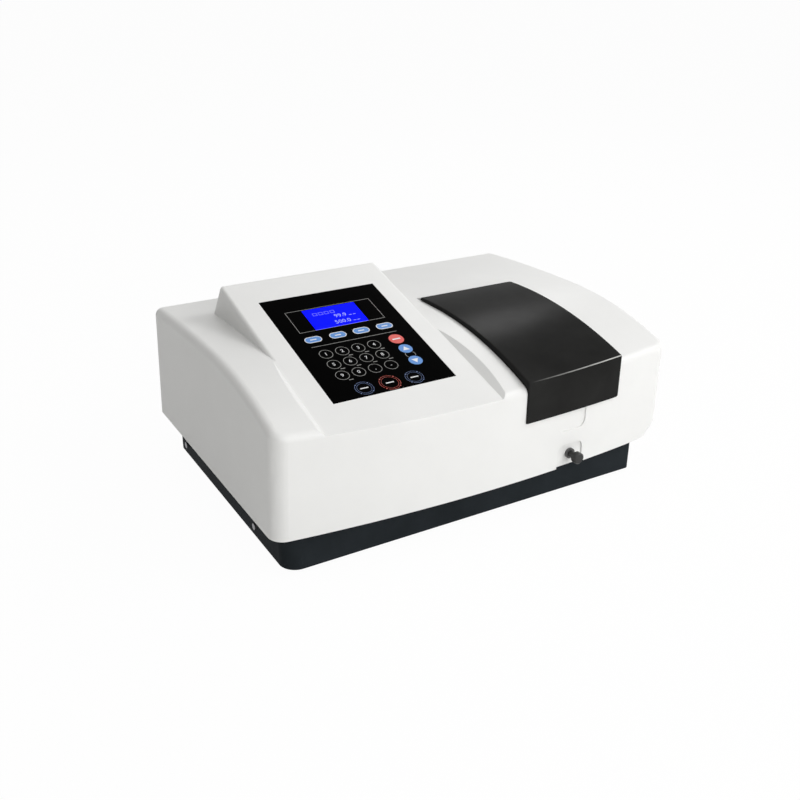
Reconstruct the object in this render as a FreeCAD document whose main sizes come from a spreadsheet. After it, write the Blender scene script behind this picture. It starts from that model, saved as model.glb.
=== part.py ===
"""Bench-top spectrophotometer: pressed base, moulded cover, sample bay with a hinged lid, optics and supply.

Millimetres. X runs along the front to the right, Y towards the rear, Z up. The origin is on the bench,
at the centre of the outer size.
"""
import FreeCAD, Part

import math
import os

import Sketcher
from FreeCAD import Placement, Rotation, Vector

doc = FreeCAD.newDocument("spectrophotometer")
sheet = doc.addObject("Spreadsheet::Sheet", "Sizes")
doc.recompute()


class Size:
    """A size: its value, and the sheet expression that gives the same value."""

    def __init__(self, text, value):
        self.text = text
        self.value = float(value)

    def __add__(self, other):
        other = size(other)
        return Size(f"({self.text} + {other.text})", self.value + other.value)

    def __radd__(self, other):
        return size(other) + self

    def __sub__(self, other):
        other = size(other)
        return Size(f"({self.text} - {other.text})", self.value - other.value)

    def __rsub__(self, other):
        return size(other) - self

    def __mul__(self, other):
        other = size(other)
        return Size(f"({self.text} * {other.text})", self.value * other.value)

    def __rmul__(self, other):
        return size(other) * self

    def __truediv__(self, other):
        other = size(other)
        return Size(f"({self.text} / {other.text})", self.value / other.value)

    def __neg__(self):
        return Size(f"(0 - {self.text})", -self.value)


def size(given):
    """Returns a Size for a Size or a plain number."""
    if isinstance(given, Size):
        return given
    return Size(f"({given:.6f})", given)


def root(given):
    return Size(f"sqrt({given.text})", math.sqrt(given.value))


def tangent(degrees):
    return Size(f"tan({degrees.text} * 1 deg)", math.tan(math.radians(degrees.value)))


def cosine(degrees):
    return Size(f"cos({degrees.text} * 1 deg)", math.cos(math.radians(degrees.value)))


def sine(degrees):
    return Size(f"sin({degrees.text} * 1 deg)", math.sin(math.radians(degrees.value)))


SIZES = {
    # Base tray, feet and deck
    "foot_height": 6,
    "foot_radius": 12,
    "foot_inset": 32,
    "tray_height": 40,
    "tray_wall": 1.5,
    "tray_corner_left": 18,
    "tray_corner_right": 6,
    "deck_thickness": 2.5,
    "tab_width": 30,
    "side_screw_height": 12.5,
    "side_screw_front": 77,
    "side_screw_pitch": 209,
    "screw_head_radius": 3.6,
    "screw_head_height": 2.2,
    "screw_radius": 2,
    "foot_bevel": 1.5,
    # Moulded cover
    "cover_width": 490,
    "cover_depth": 364.45,
    "cover_wall": 3,
    "overhang_left": 11.8,
    "overhang_right": 38.2,
    "overhang_front": 16.45,
    "overhang_rear": 27.6,
    "skirt_lap": 3,
    "front_bow": 1806.5,
    "lean_left": 2,
    "lean_right": 0.3,
    "roof_top": 182.5,
    "roof_front_radius": 470,
    "roof_rear_radius": 2200,
    "cover_corner_front": 17,
    "cover_corner_rear": 10,
    "roof_edge_radius": 9,
    "skirt_radius": 22,
    "skirt_rise": 20,
    "mouth_lip": 0.5,
    "post_side": 12,
    "post_inset": 14,
    "post_setback": 22,
    "post_height": 60,
    "post_screw_length": 14,
    # Sloping console on the cover
    "console_left": 54.8,
    "console_width": 195,
    "console_tilt": 15.28,
    "console_front": 145.2,
    "console_run": 270.45,
    "console_back": 28,
    "console_edge_radius": 4,
    "console_flare": 1.3,
    "film_left": 28,
    "film_width": 141.2,
    "film_start": 51.2,
    "film_length": 185.5,
    "film_thickness": 0.8,
    "display_left": 38,
    "display_start": 118.8,
    "display_width": 63.5,
    "display_length": 38,
    "window_thickness": 1.6,
    "console_start": 52,
    "module_depth": 9,
    "module_margin": 6,
    "board_margin": 8,
    "board_post": 7,
    # Sample bay, lid and hinge
    "bay_right": 144,
    "lid_width": 131.6,
    "lid_rear": 150.5,
    "lid_arc_radius": 540,
    "lid_proud": 4.5,
    "lid_front_proud": 2,
    "lid_drop": 110.8,
    "lid_wall": 3,
    "lid_lap": 5.8,
    "lid_gap": 0.4,
    "lid_edge_radius": 2,
    "lid_foot_radius": 4.5,
    "collar_depth": 12,
    "hinge_inset": 5.75,
    "hinge_height": 177,
    "hinge_pin_radius": 2,
    "hinge_eye_radius": 4.5,
    "hinge_eye_width": 8,
    "swing_room": 8.25,
    "well_wall": 1.5,
    "well_gap": 2,
    "light_trap": 3,
    "opening_sill": 114,
    "collar_gap": 1,
    "collar_wall": 2,
    "lug_spread": 50,
    "block_spread": 40,
    "hinge_block_width": 6,
    "hinge_sink": 1.5,
    "open_room": 11,
    "swing_side": 0.5,
    # Cell changer
    "cell_pitch": 15,
    "cell_width": 12.9,
    "cell_depth": 35,
    "cell_wall": 3,
    "beam_height": 80,
    "beam_front": 100.2,
    "beam_radius": 6,
    "rod_height": 58.4,
    "rod_radius": 3,
    "rail_spread": 44,
    "carriage_height": 11,
    "knob_reach": 14.05,
    "knob_radius": 6.5,
    "knob_length": 6.5,
    "neck_radius": 3.8,
    "boss_radius": 5.9,
    "boss_length": 2.6,
    "port_width": 36,
    "port_height": 27.6,
    "port_recess": 1.5,
    "port_lift": 1.6,
    "scoop_height": 24,
    "scoop_corner": 9,
    "scoop_width": 38.5,
    "plate_thickness": 1.5,
    "plate_lap": 4,
    "bush_radius": 4.6,
    "rail_radius": 3,
    "rod_grip": 9,
    "knob_edge": 1.2,
    "cell_window": 8,
    # Monochromator
    "mono_well_gap": 18,
    "mono_width": 200,
    "mono_end": 30,
    "mono_height": 69.5,
    "mono_wall": 5,
    "mono_cover_thickness": 3,
    "source_setback": 55,
    "mirror_spread": 92,
    "mirror_radius": 20,
    "mirror_thickness": 6,
    "grating_side": 30,
    "grating_thickness": 6,
    "table_radius": 17,
    "table_thickness": 4,
    "arm_length": 60,
    "arm_thickness": 4,
    "roller_radius": 3,
    "arm_width": 5,
    "screw_axis_height": 64,
    "lead_radius": 3,
    "nut_width": 14,
    "nut_length": 12,
    "motor_side": 28,
    "motor_length": 30,
    "slit_thickness": 1,
    "slit_opening": 1.2,
    "pivot_radius": 4,
    "grating_gap": 3,
    "mirror_mount_thickness": 3,
    "finger_reach": 14,
    "bearing_setback": 20,
    "coupler_length": 14,
    "shaft_radius": 2.5,
    # Source side
    "wheel_radius": 23,
    "filter_radius": 5,
    "filter_circle": 16,
    "wheel_thickness": 3,
    "lamp_gap": 50,
    "tungsten_radius": 5,
    "tungsten_length": 24,
    "deuterium_radius": 14,
    "deuterium_length": 52,
    "socket_height": 8,
    "selector_mirror_side": 18,
    "wheel_offset": 18.5,
    "wheel_gap": 2,
    "filter_motor_radius": 8,
    "filter_motor_length": 22,
    "bracket_thickness": 3,
    "lamp_reach": 85,
    "lamp_side": 80,
    "lamp_rim": 4,
    "selector_aside": 12,
    "selector_back": 20,
    "selector_radius": 11,
    "arm_half": 3,
    "selector_turn": 45,
    "shield_gap": 8,
    "shield_reach": 38,
    "shield_thickness": 1.5,
    # Rear panel, fan and supply
    "window_width": 240,
    "window_right": 65,
    "window_top": 125,
    "panel_thickness": 1.5,
    "inlet_width": 28,
    "inlet_height": 48,
    "fan_side": 60,
    "fan_depth": 15,
    "fan_hub_radius": 11,
    "rocker_width": 10,
    "rocker_height": 18,
    "board_thickness": 1.6,
    "standoff_height": 6,
    "panel_flange": 15,
    "inlet_offset": 33,
    "inlet_depth": 26,
    "inlet_rim": 3,
    "inlet_wall": 2,
    "inlet_mouth_depth": 18,
    "inlet_mouth_top": 4,
    "pin_pitch": 7,
    "pin_thickness": 2,
    "rocker_offset": 78,
    "rocker_wall": 1.5,
    "rocker_depth": 16,
    "rocker_pin_radius": 1.2,
    "rocker_swell": 3,
    "serial_offset": 115,
    "serial_width": 31,
    "serial_height": 12.5,
    "serial_depth": 10,
    "serial_lip": 5,
    "fan_offset": 208,
    "fan_bore": 28,
    "fan_screw_inset": 5,
    "fan_spider": 3,
    "fan_leg": 4,
    "fan_blade_thickness": 1.2,
    "fan_tip_gap": 1.2,
    "fan_pitch": 40,
    "guard_width": 1.8,
    "guard_thickness": 1.2,
    "guard_step": 5.5,
    "connector_height": 36.5,
    "board_inset": 18,
    "main_width": 180,
    "main_depth": 120,
    "supply_width": 120,
    "supply_depth": 100,
    "chip_height": 3,
    "transformer_height": 24,
    "pillar_inset": 5,
    "pillar_radius": 3,
    # Detector
    "detector_gap": 4,
    "detector_side": 40,
    "diode_radius": 4.5,
    "diode_length": 6,
    # Clearances
    "seat_gap": 0.3,
    "fit_gap": 0.05,
    "deck_gap": 0.6,
}

# Each size goes on the sheet under its own name, and is a name of this module too
for row, (alias, value) in enumerate(SIZES.items(), start=1):
    sheet.set(f"A{row}", alias.replace("_", " "))
    sheet.set(f"B{row}", str(value))
    sheet.setAlias(f"B{row}", alias)
    globals()[alias] = Size(f"Sizes.{alias}", value)

# Counts
cells = 4
filters = 6
fan_blades = 7
guard_rings = 4
doc.recompute()

# Planes and lines that pieces share
front_apex = knob_reach - (cover_depth + knob_reach) / 2
cover_rear = front_apex + cover_depth
cover_side = cover_width / 2
tray_left = overhang_left - cover_side
tray_right = cover_side - overhang_right
tray_front = front_apex + overhang_front
tray_rear = cover_rear - overhang_rear
tray_top = foot_height + tray_height
cover_bottom = tray_top - skirt_lap
deck_top = tray_top + deck_thickness
skirt_top = cover_bottom + skirt_rise
bow_centre = front_apex + front_bow
console_x0 = console_left - cover_side
console_x1 = console_x0 + console_width
bay_x = cover_side - bay_right
lid_x0 = bay_x - lid_width / 2
lid_x1 = bay_x + lid_width / 2
open_x0 = lid_x0 + lid_lap
open_x1 = lid_x1 - lid_lap
lid_back = cover_rear - lid_rear
hinge_y = lid_back - hinge_inset
groove_back = lid_back + swing_room
groove_floor = hinge_height - hinge_eye_radius - hinge_sink
open_back = hinge_y - open_room
well_x0 = open_x0 + well_gap
well_x1 = open_x1 - well_gap
well_floor = deck_top + well_wall
beam_y = front_apex + beam_front
mono_x1 = well_x0 - mono_well_gap
mono_x0 = mono_x1 - mono_width
mono_y0 = beam_y - mono_end
mono_floor = deck_top + mono_wall
well_back = open_back - well_gap
source_y = well_back + source_setback
mono_y1 = source_y + mono_end
mono_middle = (beam_y + source_y) / 2
window_x1 = cover_side - window_right
window_x0 = window_x1 - window_width
console_rear = front_apex + console_run
film_x0 = console_x0 + film_left
film_x1 = film_x0 + film_width
film_end = film_start + film_length
display_x0 = film_x0 + display_left
display_x1 = display_x0 + display_width
display_low = film_start + display_start
display_high = display_low + display_length
board_x0 = film_x0 + board_margin
board_x1 = film_x1 - board_margin
board_start = film_start + board_margin
board_end = film_end - board_margin
board_drop = cover_wall + seat_gap + module_depth
plate_inset = cover_wall + seat_gap
panel_front = tray_rear - panel_thickness
inlet_x = window_x0 + inlet_offset - seat_gap
rocker_x = window_x0 + rocker_offset
serial_x = window_x0 + serial_offset
fan_x = window_x0 + fan_offset
fan_z = deck_top + connector_height
rocker_axis_y = tray_rear - rocker_swell
grating_x = mono_x1 - mono_wall - table_radius - grating_gap
screw_x = grating_x - arm_length - finger_reach
screw_z = screw_axis_height
bearing_y = mono_middle + bearing_setback
wheel_x = mono_x1 + wheel_offset
lamp_x = mono_x1 + lamp_reach


RIGHT = Vector(1, 0, 0)
BACK = Vector(0, 1, 0)
UP = Vector(0, 0, 1)
nodes = []


def bow(inset, x):
    """Y of the cover's bowed front at x, moved inwards by inset."""
    reach = front_bow - inset
    return bow_centre - root(reach * reach - x * x)


def roof(inset, y_reach):
    """Z of the front roof arc, moved inwards by inset, at a distance y_reach in front of the apex."""
    reach = roof_front_radius - inset
    return roof_top - roof_front_radius + root(reach * reach - y_reach * y_reach)


def console_z(y, inset):
    """Z of the console's slope at y, moved inwards by inset."""
    return console_front + (y - front_apex) * tangent(console_tilt) - inset / cosine(console_tilt)


def skirt_foot(inset):
    """X where the right wall, which curves in at its foot, meets the open bottom edge."""
    reach = skirt_radius - inset
    fall = skirt_rise - inset
    return cover_side - skirt_radius + root(reach * reach - fall * fall)


well_front = bow(cover_wall, well_x1) + deck_gap
boss_front = bow(port_recess, bay_x - boss_radius) - boss_length


def keep(thing, label):
    """Names a finished sub-part and puts it on the list of files to write."""
    thing.Label = label
    nodes.append(thing)
    return thing


def place(thing, x, y, z, rotation=None):
    """Places a thing, with its position bound to the sheet."""
    if rotation is not None:
        thing.Placement = Placement(Vector(0, 0, 0), rotation)
    for axis, value in (("x", x), ("y", y), ("z", z)):
        thing.setExpression(f"Placement.Base.{axis}", size(value).text)
    return thing


def box(name, x0, x1, y0, y1, z0, z1):
    thing = doc.addObject("Part::Box", name)
    thing.setExpression("Length", (size(x1) - x0).text)
    thing.setExpression("Width", (size(y1) - y0).text)
    thing.setExpression("Height", (size(z1) - z0).text)
    return place(thing, x0, y0, z0)


def cylinder(name, radius, length, start, direction=UP):
    """A round bar from start, along direction."""
    thing = doc.addObject("Part::Cylinder", name)
    thing.setExpression("Radius", size(radius).text)
    thing.setExpression("Height", size(length).text)
    return place(thing, *start, Rotation(UP, direction))


def cone(name, radius_start, radius_end, length, start, direction=UP):
    thing = doc.addObject("Part::Cone", name)
    thing.setExpression("Radius1", size(radius_start).text)
    thing.setExpression("Radius2", size(radius_end).text)
    thing.setExpression("Height", size(length).text)
    return place(thing, *start, Rotation(UP, direction))


def fuse(name, *things):
    thing = doc.addObject("Part::MultiFuse", name)
    thing.Shapes = list(things)
    thing.Refine = True
    return thing


def common(name, *things):
    thing = doc.addObject("Part::MultiCommon", name)
    thing.Shapes = list(things)
    return thing


def cut(name, base, *tools):
    thing = doc.addObject("Part::Cut", name)
    thing.Base = base
    thing.Tool = tools[0] if len(tools) == 1 else fuse(f"{name}_tools", *tools)
    return thing


def group(name, *things):
    """Several separate solids that make one node."""
    thing = doc.addObject("Part::Compound", name)
    thing.Links = list(things)
    return thing


def copy_of(name, source, x, y, z, rotation=None):
    """A second placing of a finished shape, moved from where the first one lies."""
    thing = doc.addObject("Part::Compound", name)
    thing.Links = [source]
    return place(thing, x, y, z, rotation)


def bound(sketch, constraint, given):
    """Adds a constraint and binds it to the sheet."""
    index = sketch.addConstraint(constraint)
    sketch.setExpression(f"Constraints[{index}]", given.text)


def profile(body, role, offset, corners, arcs=None, tilt=None):
    """A closed sketch on an origin plane of the body, moved along the plane's normal by offset.

    corners are (across, up) pairs of sizes. arcs gives, for the edge after a corner, its radius: more than
    0 where it bulges to the right of its way round, less where it bulges to the left. tilt, where it is
    given, is (y, z, degrees): the plane is moved there and turned about X.
    """
    arcs = arcs or {}
    sketch = body.newObject("Sketcher::SketchObject", f"{body.Name}_outline")
    plane = [part for part in body.Origin.OriginFeatures if part.Role == role][0]
    sketch.AttachmentSupport = [(plane, "")]
    sketch.MapMode = "FlatFace"
    if tilt:
        plane_y, plane_z, degrees = tilt
        sketch.AttachmentOffset = Placement(Vector(0, 0, 0), Rotation(RIGHT, degrees.value))
        sketch.setExpression("AttachmentOffset.Rotation.Angle", f"{degrees.text} * 1 deg")
        second, third = (plane_y, plane_z) if role == "XY_Plane" else (plane_z, -plane_y)
        sketch.setExpression("AttachmentOffset.Base.y", second.text)
        sketch.setExpression("AttachmentOffset.Base.z", third.text)
    else:
        sketch.setExpression("AttachmentOffset.Base.z", size(offset).text)
    points = [(size(across), size(up)) for across, up in corners]
    count = len(points)
    for index, (across, up) in enumerate(points):
        start = Vector(across.value, up.value, 0)
        next_across, next_up = points[(index + 1) % count]
        end = Vector(next_across.value, next_up.value, 0)
        if index in arcs:
            radius = size(arcs[index]).value
            chord = end - start
            sagitta = abs(radius) - math.sqrt(radius * radius - chord.Length ** 2 / 4)
            side = Vector(chord.y, -chord.x, 0).normalize() * math.copysign(sagitta, radius)
            sketch.addGeometry(Part.Arc(start, (start + end) / 2 + side, end))
        else:
            sketch.addGeometry(Part.LineSegment(start, end))
    # An arc that bulges to the left is stored the other way round, so its ends are swapped
    first = [2 if size(arcs.get(index, 1)).value < 0 else 1 for index in range(count)]
    for index in range(count):
        after = (index + 1) % count
        last = 3 - first[index]
        sketch.addConstraint(Sketcher.Constraint("Coincident", index, last, after, first[after]))
    for index, (across, up) in enumerate(points):
        corner = first[index]
        bound(sketch, Sketcher.Constraint("DistanceX", -1, 1, index, corner, across.value), across)
        bound(sketch, Sketcher.Constraint("DistanceY", -1, 1, index, corner, up.value), up)
        if index in arcs:
            radius = size(arcs[index])
            radius = radius if radius.value > 0 else -radius
            bound(sketch, Sketcher.Constraint("Radius", index, radius.value), radius)
    return sketch


def slab(name, role, offset, length, corners, arcs=None, tilt=None):
    """A body: a closed outline on a plane, padded along the plane's normal."""
    body = doc.addObject("PartDesign::Body", name)
    sketch = profile(body, role, offset, corners, arcs, tilt)
    pad = body.newObject("PartDesign::Pad", f"{name}_pad")
    pad.Profile = sketch
    pad.setExpression("Length", size(length).text)
    sketch.Visibility = False
    body.Tip = pad
    return body


def plan_slab(name, z0, z1, corners, arcs=None):
    return slab(name, "XY_Plane", z0, size(z1) - z0, corners, arcs)


def side_slab(name, x0, x1, corners, arcs=None):
    """An outline in Y and Z, from x0 to x1."""
    return slab(name, "YZ_Plane", x0, size(x1) - x0, corners, arcs)


def front_slab(name, y0, y1, corners, arcs=None):
    """An outline in X and Z, from y0 to y1."""
    return slab(name, "XZ_Plane", -size(y1), size(y1) - y0, corners, arcs)


def round_edges(name, base, *wanted, kind="Part::Fillet"):
    """Fillets or chamfers edges of base: wanted holds pairs of a size and the test that picks its edges."""
    doc.recompute()
    picked = []
    for radius, test in wanted:
        found = [index + 1 for index, edge in enumerate(base.Shape.Edges) if test(edge)]
        if not found:
            raise ValueError(f"{name}: no edge to round")
        picked += [(index, size(radius).value, size(radius).value) for index in found]
    thing = doc.addObject(kind, name)
    thing.Base = base
    thing.Edges = picked
    return thing


def along(edge, axis):
    """Whether an edge runs along one axis: 0 for X, 1 for Y, 2 for Z."""
    limits = edge.BoundBox
    lengths = (limits.XLength, limits.YLength, limits.ZLength)
    others = max(length for index, length in enumerate(lengths) if index != axis)
    return lengths[axis] > 4 * others


def rounded_plan(name, x0, x1, y0, y1, z0, z1, radii):
    """A block with rounded upright corners: radii at front left, front right, rear right and rear left."""
    front_left, front_right, rear_right, rear_left = radii
    corners = [
        (x0 + front_left, y0), (x1 - front_right, y0), (x1, y0 + front_right), (x1, y1 - rear_right),
        (x1 - rear_right, y1), (x0 + rear_left, y1), (x0, y1 - rear_left), (x0, y0 + front_left),
    ]
    arcs = {1: front_right, 3: rear_right, 5: rear_left, 7: front_left}
    return plan_slab(name, z0, z1, corners, arcs)


def bowed_plan(name, inset, x0, x1, y1, z0, z1):
    """A block whose front follows the cover's bowed front, moved inwards by inset."""
    corners = [(x0, bow(inset, x0)), (x1, bow(inset, x1)), (x1, y1), (x0, y1)]
    return plan_slab(name, z0, z1, corners, {0: front_bow - inset})


def turns_upright(edge):
    """Whether an edge is one of the cover's upright corners."""
    limits = edge.BoundBox
    return limits.ZLength > 5 * max(limits.XLength, limits.YLength)


def on_rim(edge):
    """Whether an edge lies where the roof meets the walls."""
    limits = edge.BoundBox
    crosses_the_roof = limits.YLength < 1 and abs(limits.YMin) < 1
    return limits.ZMin > (cover_bottom + roof_top).value / 2 and not crosses_the_roof


def cover_form(name, inset):
    """The cover's outer form, with every wall moved inwards by inset."""
    x0 = inset - cover_side
    x1 = cover_side - inset
    y1 = cover_rear - inset
    z0 = cover_bottom + inset
    plan = bowed_plan(f"{name}_plan", inset, x0, x1, y1, z0, roof_top + 40)
    front = front_apex - 10
    rear = cover_rear + 10
    front_reach = roof_front_radius - inset
    rear_reach = roof_rear_radius - inset
    front_z = roof_top - roof_front_radius + root(front_reach * front_reach - front * front)
    rear_z = roof_top - roof_rear_radius + root(rear_reach * rear_reach - rear * rear)
    arched = side_slab(
        f"{name}_arch", x0 - 10, x1 + 10,
        [(front, z0 - 10), (rear, z0 - 10), (rear, rear_z), (0, roof_top - inset), (front, front_z)],
        {2: rear_reach, 3: front_reach},
    )
    rise = roof_top + 40 - z0
    leaning = front_slab(
        f"{name}_lean", front, rear,
        [(x0, z0), (skirt_foot(inset), z0), (x1, skirt_top),
         (x1 - tangent(lean_right) * (z0 + rise - skirt_top), z0 + rise),
         (x0 + tangent(lean_left) * rise, z0 + rise)],
        {1: skirt_radius - inset},
    )
    form = common(f"{name}_block", plan, arched, leaning)
    form = round_edges(
        f"{name}_corners", form,
        (cover_corner_front - inset, lambda edge: turns_upright(edge) and edge.BoundBox.YMax < 0),
        (cover_corner_rear - inset, lambda edge: turns_upright(edge) and edge.BoundBox.YMin > 0),
    )
    kind = "Part::Chamfer" if inset.value > 0 else "Part::Fillet"
    return round_edges(f"{name}_rim", form, (roof_edge_radius - inset, on_rim), kind=kind)


def console_block(name, inset):
    """The part of the console that stands above the roof: flat sloping top, steep sides and back."""
    back = console_rear - inset
    foot = back + console_back
    front = front_apex + console_start
    base = console_front - roof_edge_radius * 2
    corners = [
        (front, base), (foot, base), (foot, roof_top - inset - skirt_lap), (back, console_z(back, inset)),
        (front, console_z(front, inset)),
    ]
    block = side_slab(name, console_x0 + inset, console_x1 - inset, corners)
    if inset.value > 0:
        return block
    upper = console_z(back, inset).value - 1
    return round_edges(f"{name}_soft", block, (console_edge_radius, lambda edge: edge.BoundBox.ZMax > upper))


def console_recess(name, inset):
    """The air over the console, which cuts into the roof in front with sides that flare outwards."""
    top = console_edge_radius * 10
    shift = inset * root(1 + console_flare * console_flare)
    rear = console_rear + console_back
    corners = [(console_x0 + console_flare * inset - shift, -inset),
               (console_x1 - console_flare * inset + shift, -inset),
               (console_x1 + console_flare * top + shift, top),
               (console_x0 - console_flare * top - shift, top)]
    start = (rear, console_z(rear, size(0)), console_tilt)
    return slab(name, "XZ_Plane", 0, console_run * 2, corners, None, start)


def console_slab(name, x0, x1, along0, along1, out0, out1):
    """A plate parallel to the console: along is measured up the slope, out is square to it."""
    plane_y = front_apex - out0 * sine(console_tilt)
    plane_z = console_front + out0 * cosine(console_tilt)
    corners = [(x0, along0), (x1, along0), (x1, along1), (x0, along1)]
    return slab(name, "XY_Plane", 0, size(out1) - out0, corners, None, (plane_y, plane_z, console_tilt))


def roof_band(name, x0, x1, y0, y1, top_inset, bottom_inset):
    """A strip that follows the roof's arc: its top and bottom lie inside the roof by the two insets."""
    corners = [
        (y0, roof(bottom_inset, y0)), (0, roof_top - bottom_inset), (y1, roof_top - bottom_inset),
        (y1, roof_top - top_inset), (0, roof_top - top_inset), (y0, roof(top_inset, y0)),
    ]
    arcs = {0: bottom_inset - roof_front_radius, 4: roof_front_radius - top_inset}
    return side_slab(name, x0, x1, corners, arcs)


def front_shape(name, y0, y1, half, z_square, z_round, corner):
    """A block seen from the front with square corners at z_square and rounded ones at z_round."""
    up = 1 if size(z_round).value > size(z_square).value else -1
    shoulder = z_round - corner * up
    corners = [
        (bay_x - half, z_square), (bay_x + half, z_square), (bay_x + half, shoulder),
        (bay_x + half - corner, z_round), (bay_x - half + corner, z_round), (bay_x - half, shoulder),
    ]
    return front_slab(name, y0, y1, corners, {2: corner * up, 4: corner * up})


def cover_posts():
    """The places of the four posts that carry the cover: side, X and Y."""
    places = []
    for side, x in (("left", tray_left + post_inset), ("right", tray_right - post_inset)):
        places.append((f"{side}_front", x, tray_front + post_setback))
        places.append((f"{side}_rear", x, tray_rear - post_setback))
    return places


def make_cover():
    """The moulded cover: shell, console, hinge trough, connector shroud, board posts and foot posts."""
    none = size(0)
    outer = fuse("cover_outer_whole", cover_form("cover_outer", none), console_block("console_outer", none))
    outer = cut("cover_outer_cut", outer, console_recess("recess_outer", none))
    inner = fuse("cover_inner_whole", cover_form("cover_inner", cover_wall),
                 console_block("console_inner", cover_wall))
    inner = cut("cover_inner_cut", inner, console_recess("recess_inner", cover_wall))
    lip = cover_wall + mouth_lip
    mouth = round_edges("cover_mouth", bowed_plan("cover_mouth_plan", lip, lip - cover_side,
                                                  skirt_foot(cover_wall) - mouth_lip, cover_rear - lip,
                                                  cover_bottom - 1, cover_bottom + cover_wall + 1),
                        (cover_corner_front - lip, lambda edge: along(edge, 2) and edge.BoundBox.YMax < 0),
                        (cover_corner_rear - lip, lambda edge: along(edge, 2) and edge.BoundBox.YMin > 0))

    # What stays solid inside the cavity: the trough under the hinge, the posts and the shroud
    ribs = [
        box("hinge_trough", lid_x0 - cover_wall, lid_x1 + cover_wall, open_back, groove_back + cover_wall,
            groove_floor - cover_wall, roof_top),
    ]
    for label, x, y in cover_posts():
        reach = -cover_side if label.startswith("left") else cover_side
        x0, x1 = (reach, x + post_side / 2) if label.startswith("left") else (x - post_side / 2, reach)
        ribs.append(box(f"cover_post_{label}", x0, x1, y - post_side / 2, y + post_side / 2, deck_top,
                        deck_top + post_height))
    for side, x in (("left", board_x0), ("right", board_x1 - board_post)):
        for end, low in (("low", board_start), ("high", board_end - board_post)):
            ribs.append(console_slab(f"board_post_{side}_{end}", x, x + board_post, low, low + board_post,
                                     -board_drop, 0))
    shroud = cut("shroud", box("shroud_outside", window_x0 - cover_wall, window_x1 + cover_wall,
                               tray_rear + seat_gap, cover_rear, cover_bottom - cover_wall,
                               window_top + cover_wall),
                 box("shroud_inside", window_x0, window_x1, tray_rear, cover_rear + cover_wall,
                     cover_bottom - cover_wall * 2, window_top))
    cavity = cut("cover_cavity", inner, *ribs, shroud)
    whole = cut("cover_shell", cut("cover_closed_shell", outer, cavity),
                cut("cover_mouth_cut", mouth, shroud))

    above = roof_top + cover_wall * 10
    outside = front_apex - cover_wall * 5
    openings = [
        box("lid_opening", open_x0, open_x1, outside, open_back, opening_sill, above),
        box("trough_opening", open_x0, open_x1, open_back - 1, groove_back, groove_floor, above),
        box("swing_groove", lid_x0 - swing_side, lid_x1 + swing_side, hinge_y + 1, groove_back,
            groove_floor, above),
        box("connector_window", window_x0, window_x1, cover_rear - cover_wall - 1, cover_rear + 1,
            cover_bottom - 1, window_top),
        console_slab("film_recess", film_x0 - seat_gap, film_x1 + seat_gap, film_start - seat_gap,
                     film_end + seat_gap, -film_thickness, film_thickness),
        console_slab("display_opening", display_x0 - seat_gap, display_x1 + seat_gap,
                     display_low - seat_gap, display_high + seat_gap, -cover_wall - 1, 1),
        front_shape("port_opening", outside, tray_front, port_width / 2, cover_bottom - 1,
                    cover_bottom + port_height, scoop_corner),
    ]
    scoop = front_shape("scoop_shape", outside, tray_front, scoop_width / 2, opening_sill + 1,
                        lid_drop - scoop_height, scoop_corner)
    scoop_floor = bowed_plan("scoop_floor", port_recess, -cover_side, cover_side, cover_rear, cover_bottom,
                             above)
    openings.append(cut("scoop", scoop, scoop_floor))
    for label, x, y in cover_posts():
        openings.append(cylinder(f"post_hole_{label}", screw_radius + fit_gap, post_screw_length + 1,
                                 (x, y, deck_top - 1)))
    keep(cut("cover", whole, *openings), "top_cover")


def make_console_parts():
    """The keypad film, the display's window and module, and the board behind them."""
    film = console_slab("film_sheet", film_x0, film_x1, film_start, film_end, -film_thickness, 0)
    aperture = console_slab("film_aperture", display_x0 - seat_gap, display_x1 + seat_gap,
                            display_low - seat_gap, display_high + seat_gap, -film_thickness - 1, 1)
    keep(cut("film", film, aperture), "keypad_film")
    keep(console_slab("window", display_x0, display_x1, display_low, display_high, -window_thickness,
                      -fit_gap), "lcd_window")
    frame = console_slab("module_frame", display_x0 - module_margin, display_x1 + module_margin,
                         display_low - module_margin, display_high + module_margin, -board_drop,
                         -cover_wall - seat_gap)
    glass = console_slab("module_glass", display_x0 + seat_gap, display_x1 - seat_gap, display_low + seat_gap,
                         display_high - seat_gap, -board_drop, -window_thickness - seat_gap)
    keep(fuse("module", frame, glass), "lcd_module")
    board = console_slab("display_board_plate", board_x0, board_x1, board_start, board_end,
                         -board_drop - board_thickness, -board_drop)
    socket = console_slab("display_board_socket", board_x0 + board_post, board_x0 + board_post * 4,
                          board_start + board_post, board_start + board_post * 2,
                          -board_drop - board_thickness - socket_height, -board_drop - board_thickness)
    keep(fuse("display_board_whole", board, socket), "display_board")


def lid_z(inset, y):
    """Z of the lid's top arc at y, moved inwards by inset."""
    reach = lid_arc_radius - inset
    return roof_top + lid_proud - lid_arc_radius + root(reach * reach - y * y)


def lid_arch(name, inset, x0, x1, y0, y1, z0):
    """A block whose top follows the lid's arc, moved inwards by inset."""
    corners = [(y0, z0), (y1, z0), (y1, lid_z(inset, y1)), (y0, lid_z(inset, y0))]
    return side_slab(name, x0, x1, corners, {2: lid_arc_radius - inset})


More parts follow.
